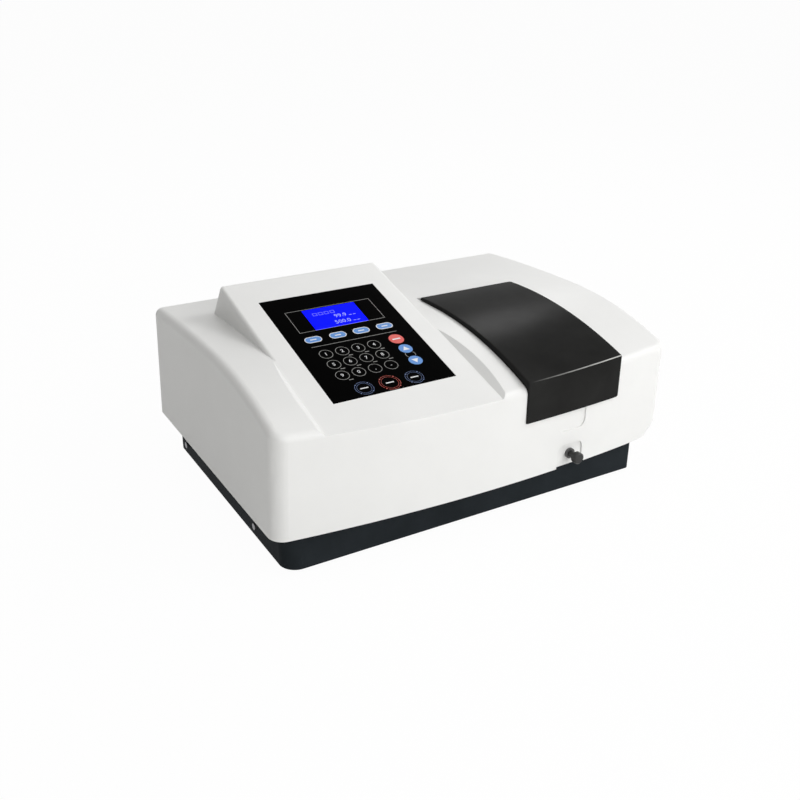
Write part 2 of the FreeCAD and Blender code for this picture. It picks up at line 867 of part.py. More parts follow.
def make_lid():
    """The sample lid: an arched top, a skirt over the cover's front, a collar that drops into the opening."""
    front = front_apex - lid_front_proud * 5
    above = roof_top + lid_proud * 8
    block = common(
        "lid_block",
        bowed_plan("lid_plan", -lid_front_proud, lid_x0, lid_x1, lid_back, lid_drop, above),
        lid_arch("lid_top", size(0), lid_x0 - 1, lid_x1 + 1, front, lid_back + 1, lid_drop - 1),
    )
    upper = console_front.value
    foot = lid_drop.value + 1
    middle = bay_x.value

    def at_right_foot(edge):
        """Whether an edge is the lower right one of the lid's front."""
        return along(edge, 1) and edge.BoundBox.ZMax < foot and edge.BoundBox.XMin > middle

    skin = round_edges("lid_soft", block, (lid_edge_radius, lambda edge: edge.BoundBox.ZMax > upper),
                       (lid_foot_radius, at_right_foot))
    skin = cut("lid_skin", skin, cover_form("lid_seat", -lid_gap))

    insert_x0 = open_x0 + collar_gap
    insert_x1 = open_x1 - collar_gap
    insert_end = open_back - collar_gap
    insert_sill = opening_sill + collar_gap
    fill = lid_wall - lid_front_proud
    fill_back = bow(fill, insert_x1)
    joined = lid_gap + 1
    profile_corners = [
        (front, insert_sill), (fill_back, insert_sill), (fill_back, roof(collar_depth, fill_back)),
        (0, roof_top - collar_depth), (insert_end, roof_top - collar_depth), (insert_end, roof_top + joined),
        (0, roof_top + joined), (front, roof(-joined, front)),
    ]
    insert = common(
        "lid_insert",
        side_slab("lid_insert_side", insert_x0, insert_x1, profile_corners,
                  {2: collar_depth - roof_front_radius, 6: roof_front_radius + joined}),
        bowed_plan("lid_insert_plan", size(-1), insert_x0, insert_x1, insert_end, insert_sill, above),
    )
    hollow = common(
        "lid_hollow",
        lid_arch("lid_hollow_top", lid_wall, insert_x0 + collar_wall, insert_x1 - collar_wall, front,
                 insert_end - collar_wall, insert_sill - 1),
        bowed_plan("lid_hollow_plan", fill, insert_x0, insert_x1, insert_end, insert_sill - 1, above),
    )
    lugs = []
    bores = [hollow]
    for side, x in (("left", bay_x - lug_spread), ("right", bay_x + lug_spread)):
        x0 = x - hinge_eye_width / 2
        eye = cylinder(f"lug_eye_{side}", hinge_eye_radius, hinge_eye_width, (x0, hinge_y, hinge_height),
                       RIGHT)
        web = box(f"lug_web_{side}", x0, x0 + hinge_eye_width, hinge_y - hinge_eye_radius,
                  hinge_y + hinge_eye_radius, hinge_height, roof_top + joined)
        lugs += [eye, web]
        bores.append(cylinder(f"lug_bore_{side}", hinge_pin_radius + fit_gap, hinge_eye_width + 2,
                              (x0 - 1, hinge_y, hinge_height), RIGHT))
    shell = cut("lid_shell", fuse("lid_whole", skin, insert), bores[0])
    keep(cut("lid", fuse("lid_with_lugs", shell, *lugs), *bores[1:]), "sample_lid")


def make_hinge():
    """The hinge pin and the two blocks that hold it in the cover's trough."""
    reach = lug_spread + hinge_eye_width / 2 + hinge_pin_radius
    keep(cylinder("hinge_pin", hinge_pin_radius, reach * 2, (bay_x - reach, hinge_y, hinge_height), RIGHT),
         "lid_hinge_pin")
    blocks = []
    for side, x in (("left", bay_x - block_spread), ("right", bay_x + block_spread)):
        x0 = x - hinge_block_width / 2
        eye = cylinder(f"block_eye_{side}", hinge_eye_radius, hinge_block_width, (x0, hinge_y, hinge_height),
                       RIGHT)
        foot = box(f"block_foot_{side}", x0, x0 + hinge_block_width, hinge_y - hinge_eye_radius,
                   hinge_y + hinge_eye_radius, groove_floor, hinge_height)
        bore = cylinder(f"block_bore_{side}", hinge_pin_radius + fit_gap, hinge_block_width + 2,
                        (x0 - 1, hinge_y, hinge_height), RIGHT)
        blocks.append(cut(f"block_{side}", fuse(f"block_whole_{side}", eye, foot), bore))
    keep(group("hinge_blocks", *blocks), "lid_hinge_blocks")


def side_places():
    """The places of the four side screws: label, side of the tray (-1 or 1) and Y."""
    places = []
    for side, turn in (("left", -1), ("right", 1)):
        places.append((f"{side}_front", turn, tray_front + side_screw_front))
        places.append((f"{side}_rear", turn, tray_front + side_screw_front + side_screw_pitch))
    return places


def foot_places():
    places = []
    for side, x in (("left", tray_left + foot_inset), ("right", tray_right - foot_inset)):
        places.append((f"{side}_front", x, tray_front + foot_inset))
        places.append((f"{side}_rear", x, tray_rear - foot_inset))
    return places


def make_base():
    """The pressed tray with its feet, the deck plate on it and the screws that join them."""
    left = tray_corner_left
    right = tray_corner_right
    outer = rounded_plan("tray_outer", tray_left, tray_right, tray_front, tray_rear, foot_height, tray_top,
                         (left, right, right, left))
    left = left - tray_wall
    right = right - tray_wall
    inner = rounded_plan("tray_inner", tray_left + tray_wall, tray_right - tray_wall, tray_front + tray_wall,
                         tray_rear - tray_wall, foot_height + tray_wall, tray_top + 1,
                         (left, right, right, left))
    holes = []
    feet = []
    foot_screws = []
    for label, x, y in foot_places():
        holes.append(cylinder(f"foot_hole_{label}", screw_radius + fit_gap, tray_wall + 2,
                              (x, y, foot_height - 1)))
        bevel = cone(f"foot_bevel_{label}", foot_radius - foot_bevel, foot_radius, foot_bevel, (x, y, 0))
        pad = cylinder(f"foot_pad_{label}", foot_radius, foot_height - foot_bevel, (x, y, foot_bevel))
        recess = cylinder(f"foot_recess_{label}", screw_head_radius + seat_gap, foot_height / 2, (x, y, 0))
        bore = cylinder(f"foot_bore_{label}", screw_radius + fit_gap, foot_height, (x, y, foot_bevel))
        feet.append(cut(f"foot_{label}", fuse(f"foot_whole_{label}", bevel, pad), recess, bore))
        head_z = foot_height / 2 - screw_head_height
        head = cylinder(f"foot_screw_head_{label}", screw_head_radius, screw_head_height, (x, y, head_z))
        shank = cylinder(f"foot_screw_shank_{label}", screw_radius, foot_height / 2 + tray_wall * 3,
                         (x, y, foot_height / 2))
        foot_screws.append(fuse(f"foot_screw_{label}", head, shank))
    keep(group("feet", *feet), "rubber_feet")

    screw_z = foot_height + side_screw_height
    tabs = []
    tab_holes = []
    side_screws = []
    for label, turn, y in side_places():
        face = tray_left if turn < 0 else tray_right
        inward = RIGHT if turn < 0 else -RIGHT
        outside = face + turn * screw_head_height
        hole_length = tray_wall + deck_thickness * 2
        holes.append(cylinder(f"side_hole_{label}", screw_radius + fit_gap, hole_length,
                              (face + turn, y, screw_z), inward))
        tab_face = face - turn * (tray_wall + seat_gap)
        tab_back = tab_face - turn * deck_thickness
        x0, x1 = (tab_face, tab_back) if turn < 0 else (tab_back, tab_face)
        tabs.append(box(f"tab_{label}", x0, x1, y - tab_width / 2, y + tab_width / 2,
                        screw_z - screw_head_radius * 2, deck_top))
        tab_holes.append(cylinder(f"tab_hole_{label}", screw_radius + fit_gap, deck_thickness * 3,
                                  (face, y, screw_z), inward))
        head = cylinder(f"side_screw_head_{label}", screw_head_radius, screw_head_height,
                        (outside, y, screw_z), inward)
        shank = cylinder(f"side_screw_shank_{label}", screw_radius, hole_length + screw_head_height,
                         (outside, y, screw_z), inward)
        side_screws.append(fuse(f"side_screw_{label}", head, shank))
    keep(cut("tray", outer, inner, *holes), "base_tray")

    edge = cover_wall + deck_gap
    plate = round_edges("deck_soft", bowed_plan("deck_blank", edge, edge - cover_side,
                                                skirt_foot(cover_wall) - deck_gap, cover_rear - edge,
                                                tray_top, deck_top),
                        (cover_corner_front,
                         lambda edge: edge.BoundBox.ZLength > 1 and edge.BoundBox.YMax < 0),
                        (cover_corner_rear,
                         lambda edge: edge.BoundBox.ZLength > 1 and edge.BoundBox.YMin > 0))
    plate_back = bow(plate_inset + plate_thickness, bay_x + port_width / 2 + plate_lap)
    half = port_width / 2 + plate_lap + deck_gap
    gaps = [
        box("deck_connector_gap", window_x0 - edge, window_x1 + edge, panel_front - seat_gap, cover_rear,
            tray_top - 1, deck_top + 1),
        box("deck_port_gap", bay_x - half, bay_x + half, front_apex, plate_back + deck_gap, tray_top - 1,
            deck_top + 1),
    ]
    cover_screws = []
    for label, x, y in cover_posts():
        gaps.append(cylinder(f"deck_hole_{label}", screw_radius + fit_gap, deck_thickness + 2,
                             (x, y, tray_top - 1)))
        head = cylinder(f"cover_screw_head_{label}", screw_head_radius, screw_head_height,
                        (x, y, tray_top - screw_head_height))
        shank = cylinder(f"cover_screw_shank_{label}", screw_radius, deck_thickness + post_screw_length - 1,
                         (x, y, tray_top))
        cover_screws.append(fuse(f"cover_screw_{label}", head, shank))
    keep(cut("deck", fuse("deck_whole", plate, *tabs), *gaps, *tab_holes), "deck_plate")
    keep(group("case_screw_set", *foot_screws, *side_screws, *cover_screws), "case_screws")


def make_rod_port():
    """The plate in the cover's rod opening and the bush that guides the rod."""
    back_inset = plate_inset + plate_thickness
    outside = front_apex - cover_wall
    ring = cut(
        "plate_ring",
        bowed_plan("plate_ring_front", port_recess, open_x0, open_x1, tray_front, cover_bottom, opening_sill),
        bowed_plan("plate_ring_back", back_inset, open_x0 - 1, open_x1 + 1, tray_front + 1, cover_bottom - 1,
                   opening_sill + 1),
    )
    shape = front_shape("plate_shape", outside, tray_front, port_width / 2 - seat_gap,
                        cover_bottom + port_lift, cover_bottom + port_height - seat_gap,
                        scoop_corner - seat_gap)
    face = common("plate_face", shape, ring)
    half = port_width / 2 + plate_lap
    flange = common("plate_flange", box("plate_flange_block", bay_x - half, bay_x + half, outside, tray_front,
                                        deck_top - deck_thickness, cover_bottom + port_height + plate_lap),
                    cut("flange_ring", bowed_plan("flange_ring_front", plate_inset, open_x0, open_x1,
                                                  tray_front, cover_bottom, opening_sill),
                        bowed_plan("flange_ring_back", back_inset, open_x0 - 1, open_x1 + 1, tray_front + 1,
                                   cover_bottom - 1, opening_sill + 1)))
    bore = cylinder("plate_bore", bush_radius + fit_gap, cover_wall * 8, (bay_x, outside, rod_height), BACK)
    keep(cut("port_plate", fuse("port_plate_whole", face, flange), bore), "rod_port_plate")

    bush_length = well_front + well_wall + fit_gap - boss_front
    boss = cylinder("bush_boss", boss_radius, boss_length, (bay_x, boss_front, rod_height), BACK)
    body = cylinder("bush_body", bush_radius, bush_length, (bay_x, boss_front, rod_height), BACK)
    hole = cylinder("bush_hole", rod_radius + fit_gap, bush_length + 2, (bay_x, boss_front - 1, rod_height),
                    BACK)
    keep(cut("bush", fuse("bush_whole", boss, body), hole), "rod_bush")


def make_sample_well():
    """The black well that lines the sample bay, its foam light seal and the changer's rails."""
    top = collar_depth + light_trap
    outer = side_slab(
        "well_outer", well_x0, well_x1,
        [(well_front, deck_top), (well_back, deck_top), (well_back, roof_top - top), (0, roof_top - top),
         (well_front, roof(top, well_front))],
        {3: roof_front_radius - top},
    )
    x0 = well_x0 + well_wall
    x1 = well_x1 - well_wall
    y0 = well_front + well_wall
    y1 = well_back - well_wall
    tools = [box("well_inner", x0, x1, y0, y1, well_floor, roof_top),
             box("well_gate", x0, x1, well_front - 1, y0 + 1, opening_sill - light_trap, roof_top),
             cylinder("well_beam_holes", beam_radius, well_x1 - well_x0 + 2,
                      (well_x0 - 1, beam_y, beam_height), RIGHT),
             cylinder("well_rod_hole", bush_radius + fit_gap, well_wall + 2,
                      (bay_x, well_front - 1, rod_height), BACK)]
    keep(cut("well", outer, *tools), "sample_well")

    strip = well_wall * 2
    seal_top = collar_depth + seat_gap
    left = roof_band("seal_left", well_x0, well_x0 + strip, well_front, well_back, seal_top, top)
    right = roof_band("seal_right", well_x1 - strip, well_x1, well_front, well_back, seal_top, top)
    rear = box("seal_rear", well_x0, well_x1, well_back - strip, well_back, roof_top - top,
               roof_top - seal_top)
    keep(fuse("seal", left, right, rear), "light_seal")

    rails = []
    for side, x in (("left", bay_x - rail_spread / 2), ("right", bay_x + rail_spread / 2)):
        rails.append(cylinder(f"rail_{side}", rail_radius, y1 - y0, (x, y0, rod_height), BACK))
    keep(group("rails", *rails), "guide_rails")


def make_changer():
    """The sliding carriage, the four-cell holder on it, and the rod and knob that pull them."""
    holder_y0 = beam_y - cell_width / 2 - cell_wall
    holder_y1 = beam_y + cell_pitch * (cells - 1) + cell_width / 2 + cell_wall
    half = rail_spread / 2 + rail_radius + cell_wall
    z0 = rod_height - carriage_height / 2
    z1 = z0 + carriage_height
    block = box("carriage_block", bay_x - half, bay_x + half, holder_y0, holder_y1, z0, z1)
    bores = []
    for side, x in (("left", bay_x - rail_spread / 2), ("right", bay_x + rail_spread / 2)):
        bores.append(cylinder(f"carriage_bore_{side}", rail_radius + fit_gap, holder_y1 - holder_y0 + 2,
                              (x, holder_y0 - 1, rod_height), BACK))
    bores.append(cylinder("carriage_rod_bore", rod_radius + fit_gap, rod_grip + seat_gap,
                          (bay_x, holder_y0, rod_height), BACK))
    keep(cut("carriage", block, *bores), "changer_carriage")

    holder_half = cell_width / 2 + cell_wall
    cell_floor = z1 + cell_wall / 2
    holder = box("holder_block", bay_x - holder_half, bay_x + holder_half, holder_y0, holder_y1, z1,
                 cell_floor + cell_depth)
    slots = []
    for index in range(cells):
        y = beam_y + cell_pitch * index
        slots.append(box(f"cell_slot_{index + 1}", bay_x - cell_width / 2, bay_x + cell_width / 2,
                         y - cell_width / 2, y + cell_width / 2, cell_floor, roof_top))
        slots.append(box(f"cell_window_{index + 1}", bay_x - holder_half - 1, bay_x + holder_half + 1,
                         y - cell_window / 2, y + cell_window / 2, beam_height - beam_radius,
                         beam_height + beam_radius))
    keep(cut("holder", holder, *slots), "cuvette_holder")

    knob_front = front_apex - knob_reach
    rod_y = knob_front + knob_length / 2
    keep(cylinder("rod", rod_radius, holder_y0 + rod_grip - rod_y, (bay_x, rod_y, rod_height), BACK),
         "pull_rod")
    face = cone("knob_face", knob_radius - knob_edge, knob_radius, knob_edge, (bay_x, knob_front, rod_height),
                BACK)
    head = cylinder("knob_head", knob_radius, knob_length - knob_edge,
                    (bay_x, knob_front + knob_edge, rod_height), BACK)
    neck = cylinder("knob_neck", neck_radius, boss_front - seat_gap - knob_front - knob_edge,
                    (bay_x, knob_front + knob_edge, rod_height), BACK)
    bore = cylinder("knob_bore", rod_radius + fit_gap, knob_reach * 2, (bay_x, rod_y - fit_gap, rod_height),
                    BACK)
    keep(cut("knob", fuse("knob_whole", face, head, neck), bore), "pull_knob")


def make_monochromator():
    """The cast monochromator box with its slits, mirrors and the drive that turns the grating."""
    shell = box("mono_outer", mono_x0, mono_x1, mono_y0, mono_y1, deck_top, deck_top + mono_height)
    inner = box("mono_inner", mono_x0 + mono_wall, mono_x1 - mono_wall, mono_y0 + mono_wall,
                mono_y1 - mono_wall, mono_floor, deck_top + mono_height + 1)
    arm_z = beam_height - grating_side / 2 - table_thickness - arm_thickness
    centre_y = mono_middle
    pivot = cylinder("mono_pivot", pivot_radius, arm_z + arm_thickness - seat_gap - deck_top,
                     (grating_x, centre_y, deck_top))
    pivot_boss = cylinder("mono_pivot_boss", pivot_radius * 1.5, arm_z - seat_gap - deck_top,
                          (grating_x, centre_y, deck_top))
    bearing = box("mono_bearing", screw_x - nut_width / 2, screw_x + nut_width / 2, bearing_y,
                  bearing_y + nut_length / 2, deck_top, screw_z + nut_width / 2)
    tools = []
    slit_plates = []
    for end, y in (("exit", beam_y), ("entrance", source_y)):
        tools.append(cylinder(f"mono_{end}_hole", beam_radius, mono_wall + 2,
                              (mono_x1 - mono_wall - 1, y, beam_height), RIGHT))
        plate = box(f"slit_plate_{end}", mono_x1, mono_x1 + slit_thickness, y - beam_radius * 1.5,
                    y + beam_radius * 1.5, beam_height - beam_radius * 2, beam_height + beam_radius * 2)
        slot = box(f"slit_{end}", mono_x1 - 1, mono_x1 + slit_thickness + 1, y - slit_opening / 2,
                   y + slit_opening / 2, beam_height - beam_radius, beam_height + beam_radius)
        slit_plates.append(cut(f"slit_blade_{end}", plate, slot))
    tools.append(cylinder("mono_screw_hole", lead_radius + fit_gap, mono_wall + 2,
                          (screw_x, mono_y0 - 1, screw_z), BACK))
    tools.append(cylinder("mono_bearing_hole", lead_radius + fit_gap, nut_length,
                          (screw_x, bearing_y - 1, screw_z), BACK))
    fitted = fuse("mono_fitted", cut("mono_box", shell, inner), pivot, pivot_boss, bearing)
    keep(cut("mono", fitted, *tools), "mono_housing")
    keep(box("mono_lid", mono_x0, mono_x1, mono_y0, mono_y1, deck_top + mono_height,
             deck_top + mono_height + mono_cover_thickness), "mono_cover")
    keep(group("slit_plate_set", *slit_plates), "slit_plates")

    mount_x = mono_x0 + mono_wall
    glass_x = mount_x + mirror_mount_thickness
    mirrors = []
    mounts = []
    for end, y in (("front", centre_y - mirror_spread / 2), ("rear", centre_y + mirror_spread / 2)):
        mounts.append(box(f"mirror_mount_{end}", mount_x, glass_x, y - mirror_radius, y + mirror_radius,
                          mono_floor, beam_height + mirror_radius))
        mirrors.append(cylinder(f"mirror_{end}", mirror_radius, mirror_thickness, (glass_x, y, beam_height),
                                RIGHT))
    keep(group("mirror_mount_set", *mounts), "mirror_mounts")
    keep(group("mirror_set", *mirrors), "mirrors")

    hub = cylinder("arm_hub", pivot_radius * 2, arm_thickness, (grating_x, centre_y, arm_z))
    bar = box("arm_bar", grating_x - arm_length, grating_x, centre_y - arm_width / 2,
              centre_y + arm_width / 2, arm_z, arm_z + arm_thickness)
    tip = cylinder("arm_roller", roller_radius, arm_thickness * 2,
                   (grating_x - arm_length, centre_y, arm_z - arm_thickness / 2))
    bore = cylinder("arm_bore", pivot_radius + fit_gap, arm_thickness + 2, (grating_x, centre_y, arm_z - 1))
    keep(cut("arm", fuse("arm_whole", hub, bar, tip), bore), "sine_arm")
    table_z = arm_z + arm_thickness
    keep(cylinder("table", table_radius, table_thickness, (grating_x, centre_y, table_z)), "grating_table")
    keep(box("grating_block", grating_x - grating_thickness / 2, grating_x + grating_thickness / 2,
             centre_y - grating_side / 2, centre_y + grating_side / 2, table_z + table_thickness,
             table_z + table_thickness + grating_side), "grating")

    nut_y1 = centre_y - roller_radius - seat_gap
    nut_y0 = nut_y1 - nut_length
    nut_block = box("nut_block", screw_x - nut_width / 2, screw_x + nut_width / 2, nut_y0, nut_y1,
                    mono_floor + seat_gap, screw_z + nut_width / 2)
    finger = box("nut_finger", screw_x, grating_x - arm_length + roller_radius, nut_y0, nut_y1,
                 arm_z - arm_thickness / 2, arm_z + arm_thickness * 2)
    nut_bore = cylinder("nut_bore", lead_radius + fit_gap, nut_length + 2, (screw_x, nut_y0 - 1, screw_z),
                        BACK)
    keep(cut("nut", fuse("nut_whole", nut_block, finger), nut_bore), "lead_nut")

    coupler_y = mono_y0 + mono_wall + fit_gap * 10
    middle = coupler_y + coupler_length / 2
    screw_end = bearing_y + nut_length / 2 - seat_gap
    shaft_y = mono_y0 - motor_length / 2
    screw = cylinder("lead_bar", lead_radius, screw_end - middle, (screw_x, middle, screw_z), BACK)
    shaft = cylinder("motor_shaft", shaft_radius, middle - shaft_y, (screw_x, shaft_y, screw_z), BACK)
    keep(fuse("lead", screw, shaft), "lead_screw")
    ring = cylinder("coupler_ring", lead_radius * 2, coupler_length, (screw_x, coupler_y, screw_z), BACK)
    front_bore = cylinder("coupler_front_bore", shaft_radius + fit_gap, coupler_length,
                          (screw_x, coupler_y - 1, screw_z), BACK)
    rear_bore = cylinder("coupler_rear_bore", lead_radius + fit_gap, coupler_length,
                         (screw_x, middle - fit_gap, screw_z), BACK)
    keep(cut("coupler", ring, front_bore, rear_bore), "drive_coupler")
    half = motor_side / 2
    motor = box("motor_block", screw_x - half, screw_x + half, mono_y0 - motor_length, mono_y0,
                screw_z - half, screw_z + half)
    motor_bore = cylinder("motor_bore", shaft_radius + fit_gap, motor_length,
                          (screw_x, shaft_y - seat_gap, screw_z), BACK)
    keep(cut("motor", motor, motor_bore), "wavelength_motor")


def make_source():
    """The filter wheel, the lamp selector, the two lamps and the shield round them."""
    axis_z = beam_height + filter_circle
    disc = cylinder("wheel_disc", wheel_radius, wheel_thickness, (wheel_x, source_y, axis_z), RIGHT)
    holes = [cylinder("wheel_bore", shaft_radius + fit_gap, wheel_thickness + 2,
                      (wheel_x - 1, source_y, axis_z), RIGHT)]
    glasses = []
    for index in range(filters):
        degrees = 360 / filters * index - 90
        y = source_y + filter_circle * math.cos(math.radians(degrees))
        z = axis_z + filter_circle * math.sin(math.radians(degrees))
        holes.append(cylinder(f"wheel_hole_{index + 1}", filter_radius + fit_gap, wheel_thickness + 2,
                              (wheel_x - 1, y, z), RIGHT))
        if index > 0:
            glasses.append(cylinder(f"filter_{index}", filter_radius, wheel_thickness, (wheel_x, y, z),
                                    RIGHT))
    keep(cut("wheel", disc, *holes), "filter_wheel")
    keep(group("filter_set", *glasses), "filter_glasses")
    bracket_x = wheel_x + wheel_thickness + wheel_gap
    motor = cylinder("filter_motor_can", filter_motor_radius, filter_motor_length,
                     (bracket_x, source_y, axis_z), RIGHT)
    motor_bore = cylinder("filter_motor_bore", shaft_radius + fit_gap, filter_motor_length / 2,
                          (bracket_x - 1, source_y, axis_z), RIGHT)
    keep(cut("filter_motor_body", motor, motor_bore), "filter_motor")
    keep(cylinder("filter_spindle", shaft_radius, wheel_thickness + wheel_gap * 2 + filter_motor_length / 4,
                  (wheel_x - wheel_gap, source_y, axis_z), RIGHT), "filter_shaft")
    plate = box("bracket_plate", bracket_x, bracket_x + bracket_thickness, source_y - wheel_radius,
                source_y + wheel_radius, deck_top, axis_z + filter_motor_radius * 1.5)
    foot = box("bracket_foot", bracket_x, bracket_x + wheel_radius, source_y - wheel_radius,
               source_y + wheel_radius, deck_top, deck_top + bracket_thickness)
    motor_hole = cylinder("bracket_motor_hole", filter_motor_radius + fit_gap, bracket_thickness + 2,
                          (bracket_x - 1, source_y, axis_z), RIGHT)
    beam_hole = cylinder("bracket_beam_hole", beam_radius, bracket_thickness + 2,
                         (bracket_x - 1, source_y, beam_height), RIGHT)
    keep(cut("bracket", fuse("bracket_whole", plate, foot), motor_hole, beam_hole), "filter_bracket")

    shaft_x = lamp_x + selector_aside
    shaft_y = source_y + selector_back
    arm_z = beam_height - selector_mirror_side / 2 - arm_thickness
    motor_top = arm_z - wheel_gap
    solenoid = cylinder("selector_can", selector_radius, motor_top - deck_top, (shaft_x, shaft_y, deck_top))
    solenoid_bore = cylinder("selector_bore", shaft_radius + fit_gap, (motor_top - deck_top) / 2 + 1,
                             (shaft_x, shaft_y, (motor_top + deck_top) / 2))
    keep(cut("selector", solenoid, solenoid_bore), "selector_motor")
    spindle = cylinder("selector_spindle", shaft_radius,
                       arm_z + arm_thickness - (motor_top + deck_top) / 2 - seat_gap,
                       (shaft_x, shaft_y, (motor_top + deck_top) / 2 + seat_gap))
    arm = plan_slab("selector_arm", arm_z, arm_z + arm_thickness, [
        (lamp_x - arm_half, source_y), (lamp_x + arm_half, source_y - arm_half),
        (shaft_x + arm_half, shaft_y - arm_half), (shaft_x + arm_half, shaft_y + arm_half),
        (shaft_x - arm_half, shaft_y + arm_half),
    ])
    keep(fuse("selector_arm_whole", spindle, arm), "mirror_arm")
    half = selector_mirror_side / 2
    offset = mirror_mount_thickness
    mirror = box("selector_glass", -half, half, -offset, 0, 0, selector_mirror_side)
    turned = copy_of("selector_glass_turned", mirror, lamp_x, source_y, arm_z + arm_thickness,
                     Rotation(UP, selector_turn.value))
    keep(turned, "source_mirror")

    plate_top = deck_top + bracket_thickness
    lamps = []
    for label, x, y, radius, length in (
        ("tungsten", lamp_x, source_y + lamp_gap, tungsten_radius, tungsten_length),
        ("deuterium", lamp_x + lamp_side, source_y, deuterium_radius, deuterium_length),
    ):
        low = beam_height - length / 2
        tube = cylinder(f"{label}_tube", radius, length - radius, (x, y, low))
        crown = cone(f"{label}_crown", radius, radius / 2, radius, (x, y, low + length - radius))
        keep(fuse(f"{label}_bulb", tube, crown), f"{label}_lamp")
        base = cylinder(f"{label}_base", radius + lamp_rim, bracket_thickness, (x, y, deck_top))
        stem = cylinder(f"{label}_stem", radius + fit_gap, low - plate_top, (x, y, plate_top))
        lamps.append(fuse(f"{label}_socket", base, stem))
    keep(group("socket_set", *lamps), "lamp_sockets")

    shield_x = shaft_x - shield_reach
    shield_y = source_y - deuterium_radius - shield_gap
    side = box("shield_side", shield_x - shield_thickness, shield_x, shield_y,
               source_y + lamp_gap + shield_gap * 2, deck_top, deck_top + mono_height)
    front = box("shield_front", shield_x - shield_thickness,
                lamp_x + lamp_side + deuterium_radius + shield_gap, shield_y - shield_thickness, shield_y,
                deck_top, deck_top + mono_height)
    hole = cylinder("shield_hole", beam_radius, shield_thickness + 2,
                    (shield_x - shield_thickness - 1, source_y, beam_height), RIGHT)
    keep(cut("shield", fuse("shield_whole", side, front), hole), "heat_shield")


def make_detector():
    """The detector housing behind the sample well, its photodiode and the amplifier board that closes it."""
    half = detector_side / 2
    x0 = well_x1 + detector_gap
    x1 = x0 + detector_side
    top = beam_height + half
    block = box("detector_block", x0, x1, beam_y - half, beam_y + half, deck_top, top)
    cavity = box("detector_cavity", x0 + cell_wall, x1 + 1, beam_y - half + cell_wall,
                 beam_y + half - cell_wall, beam_height - half + cell_wall, top - cell_wall)
    hole = cylinder("detector_hole", beam_radius, cell_wall + 2, (x0 - 1, beam_y, beam_height), RIGHT)
    keep(cut("detector", block, cavity, hole), "detector_housing")
    keep(box("preamp_plate", x1, x1 + board_thickness, beam_y - half + 1, beam_y + half - 1,
             beam_height - half, top - 1), "preamp_board")
    can_x = x0 + cell_wall * 2
    can = cylinder("diode_can", diode_radius, diode_length, (can_x, beam_y, beam_height), RIGHT)
    stem = cylinder("diode_stem", diode_radius / 2, x1 - can_x, (can_x, beam_y, beam_height), RIGHT)
    keep(fuse("diode", can, stem), "photodiode")


def make_boards():
    """The main board and the supply on their pillars in the tray, with their larger components."""
    floor = foot_height + tray_wall
    board_z = floor + standoff_height
    top = board_z + board_thickness
    pillars = []
    for label, x0, y0, width, depth in (
        ("main", tray_left + board_inset, -main_depth / 2, main_width, main_depth),
        ("supply", tray_right - board_inset - supply_width, -supply_depth / 2, supply_width, supply_depth),
    ):
        plate = box(f"{label}_plate", x0, x0 + width, y0, y0 + depth, board_z, top)
        if label == "main":
            pieces = [box("processor", x0 + board_inset, x0 + board_inset * 2, y0 + board_inset,
                          y0 + board_inset * 2, top, top + chip_height),
                      box("memory", x0 + board_inset * 3, x0 + board_inset * 4, y0 + board_inset,
                          y0 + board_inset * 1.5, top, top + chip_height),
                      box("ribbon_header", x0 + board_inset, x0 + board_inset * 3, y0 + depth - board_inset,
                          y0 + depth - board_inset * 0.7, top, top + socket_height)]
        else:
            pieces = [box("transformer", x0 + board_inset, x0 + board_inset * 2.5, y0 + board_inset,
                          y0 + board_inset * 2.2, top, top + transformer_height),
                      cylinder("capacitor", chip_height * 3, transformer_height * 0.8,
                               (x0 + width - board_inset, y0 + depth - board_inset, top)),
                      box("heat_sink", x0 + board_inset * 3, x0 + board_inset * 3.3, y0 + board_inset,
                          y0 + depth - board_inset * 2, top, top + transformer_height * 0.8)]
        label_out = "main_board" if label == "main" else "power_supply"
        keep(fuse(f"{label}_board_whole", plate, *pieces), label_out)
        for index, (x, y) in enumerate(((x0 + pillar_inset, y0 + pillar_inset),
                                        (x0 + width - pillar_inset, y0 + pillar_inset),
                                        (x0 + width - pillar_inset, y0 + depth - pillar_inset),
                                        (x0 + pillar_inset, y0 + depth - pillar_inset))):
            pillars.append(cylinder(f"{label}_pillar_{index + 1}", pillar_radius, standoff_height,
                                    (x, y, floor)))
    keep(group("pillar_set", *pillars), "board_standoffs")


